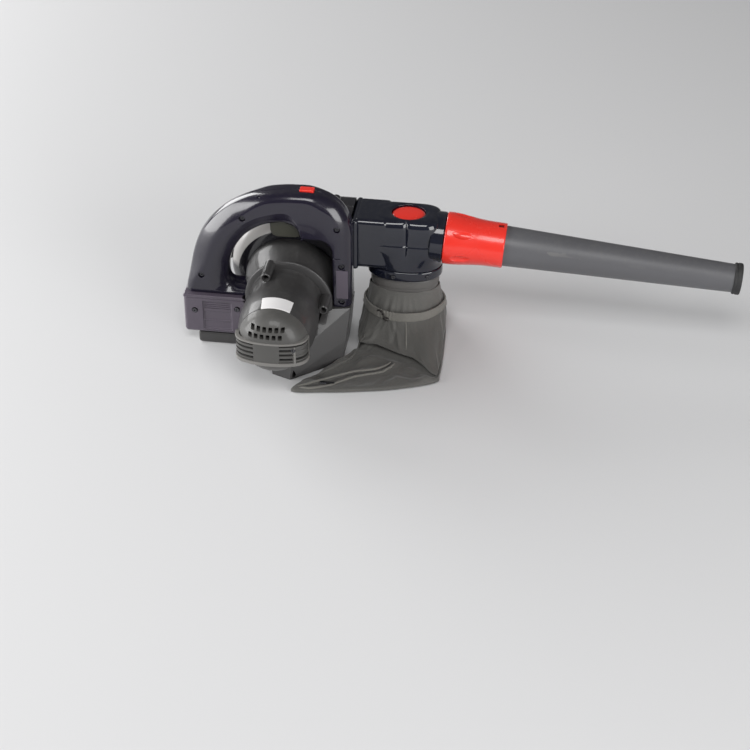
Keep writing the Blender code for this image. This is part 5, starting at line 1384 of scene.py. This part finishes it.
def scroll_front():
    shell = grown_piece("scroll_front_shell", [scroll_ring(depth, 0.0, 0.0797) for depth in (0.00015,) + SCROLL_STEPS])
    carve(shell, grown_piece("scroll_room", [scroll_ring(depth - 0.0025, 0.0025, 0.0857)
                                             for depth in (0.0005,) + SCROLL_STEPS]))
    carve(shell, pin("shaft_bore", 0.0200, 0.0150, 0.0350, along_y(), 96))
    round_edges(shell, 0.0005, 2, 38)
    for x, z in SCROLL_LUGS:
        lug = pin("lug", 0.0062, DUCT_Y - 0.0100, DUCT_Y - 0.00015, along_y(x, z), 32)
        round_edges(lug, 0.0006, 2, 40)
        shell = fit_together("scroll_front_shell", shell, lug)
    dress(shell, "body", scroll_black, "black_plastic", "scroll_front")


SCROLL_LUGS = [(cos(radians(turn)) * (scroll_radius(10.0 - turn) + 0.0052),
                SHAFT_Z + sin(radians(turn)) * (scroll_radius(10.0 - turn) + 0.0052)) for turn in (-60.0, -130.0, -190.0)]
SCROLL_LUGS.append((0.0550, SHAFT_Z + 0.1062))


cad_box_low, cad_box_high = cad_box[0], cad_box[1]
set_camera()
light_studio()
lay_floor()

mould_grain = mould_grain_group()
scuffs = scuff_group()
settled_dust = dust_group()
bag_weave = weave_group()

glossy_navy = moulded("glossy_navy_shell", colour(23, 19, 36), colour(70, 66, 82), 0.18, 420.0, 0.00003, 0.25, 0.03, 0.55)
duct_navy = moulded("polished_navy_duct", colour(20, 23, 36), colour(66, 68, 80), 0.08, 420.0, 0.00002, 0.2, 0.03, 0.6)
# A lighter copy of the navy shell plastic for the dock and the column strip: painted light where the lamps fall on
# them.
painted_lit_dock_navy = moulded("lit_navy_dock", colour(84, 76, 88), colour(112, 104, 114), 0.30, 420.0, 0.00003, 0.3, 0.03, 0.4)
painted_lit_column_navy = painted_lit_dock_navy
satin_black = moulded("satin_black_housing", colour(58, 57, 57), colour(96, 94, 92), 0.42, 900.0, 0.00006, 0.3, 0.05, 0.30)
# A lighter copy of the satin black plastic for the nose: painted light where the lamps fall on it.
painted_lit_nose_grey = moulded("lit_satin_nose", colour(76, 75, 73), colour(116, 114, 110), 0.44, 900.0, 0.00006, 0.3, 0.05, 0.2)
# A pale grey that paints highlights along the edges of the nose band's frame.
painted_highlight_edge_grey = moulded("rubbed_nose_edge", colour(120, 118, 115), colour(156, 154, 150), 0.36, 900.0, 0.00004, 0.3, 0.03)
# The scroll's black plastic, with a painted highlight on its sloping lip behind the hand hole.
scroll_black = moulded("satin_black_scroll", colour(32, 31, 36), colour(76, 74, 74), 0.20, 700.0, 0.00004, 0.3, 0.05, 0.5,
                        painted_lip_highlight=True)
signal_red = moulded("signal_red", colour(236, 52, 40), colour(244, 128, 116), 0.24, 600.0, 0.00003, 0.3, 0.02, 0.4, 0.08)
deep_red = moulded("deep_red_button", colour(120, 16, 14), colour(170, 70, 64), 0.35, 600.0, 0.00003, 0.2, 0.02)
tube_grey = moulded("blown_grey_tube", colour(92, 92, 95), colour(122, 120, 118), 0.36, 650.0, 0.00009, 0.5, 0.08)
spigot_grey = moulded("satin_grey_spigot", colour(96, 94, 92), colour(120, 118, 116), 0.38, 700.0, 0.00006, 0.3, 0.04)
plate_pale = moulded("pale_blank_plate", colour(226, 224, 224), colour(205, 203, 202), 0.30, 900.0, 0.00002, 0.2, 0.02)
rubber = moulded("black_rubber", colour(40, 40, 41), colour(70, 69, 67), 0.62, 500.0, 0.00008, 0.3, 0.10)
nylon = moulded("natural_nylon", colour(196, 190, 174), colour(215, 210, 200), 0.45, 800.0, 0.00003, 0.2, 0.03)
trigger_olive = moulded("dark_olive_trigger", colour(52, 52, 44), colour(84, 82, 74), 0.42, 800.0, 0.00005, 0.4, 0.02)
dark_steel = metal("dark_steel", colour(96, 96, 100), 0.34, 1500.0)
copper = metal("copper_winding", colour(214, 128, 84), 0.30, 900.0)
bag_cloth = cloth_finish("woven_bag_nylon", colour(73, 72, 69), 2600.0)
welt_cloth = cloth_finish("folded_bag_nylon", colour(100, 98, 93), 2600.0)
sleeve_cloth = cloth_finish("smooth_sleeve_cloth", colour(82, 81, 78), 2200.0)
thread_pale = moulded("pale_thread", colour(120, 116, 108), colour(150, 146, 138), 0.7, 2500.0, 0.00004, 0.1, 0.02)
cord_dark = moulded("dark_drawstring", colour(44, 40, 38), colour(90, 84, 78), 0.7, 2500.0, 0.00010, 0.2, 0.02)
zip_dark = moulded("dark_zip_teeth", colour(30, 29, 30), colour(70, 68, 66), 0.45, 1500.0, 0.00003, 0.3, 0.02)

motor_barrel()
blank_plate()
nose_cap()
nose_band()
tube_pieces()
collar()
duct()
duct_button()
ring_and_spigot()
bag()
handle()
scroll_front()
dock()

for node_name, piece_name, finish, slot_name, edge in (
        ("trigger", "trigger_lever", trigger_olive, "black_plastic", 0.0006),
        ("lock_button", "lock_off_button", signal_red, "red_plastic", 0.0003),
        ("scroll_back", "scroll_back_shell", scroll_black, "black_plastic", 0.0005),
        ("intake_guard", "intake_grille", satin_black, "black_plastic", 0.0004),
        ("battery_pack", "battery_case", satin_black, "black_plastic", 0.0006),
        ("battery_latch", "battery_latch_tab", rubber, "black_rubber", 0.0004)):
    fine_copy(node_name, piece_name, finish, slot_name, edge)
fine_copy("base_foot", "base_foot_shell", satin_black, "black_plastic", 0.0008, join_flats=False)
for name in nodes:
    if "screw" in name:
        fine_copy(name, name + "_head", dark_steel, "dark_steel", 0.0002)

slot_finish = {
    "navy_shell": glossy_navy, "black_plastic": satin_black, "red_plastic": signal_red, "tube_grey": tube_grey,
    "black_rubber": rubber, "bag_fabric": bag_cloth, "dark_steel": dark_steel, "copper": copper, "nylon": nylon,
}
for name, node in nodes.items():
    was = node.material_slots[0].material.name if node.material_slots else ""
    for slot_name, finish in slot_finish.items():
        if was.startswith(slot_name) and not node.hide_render:
            finish_node(name, finish)
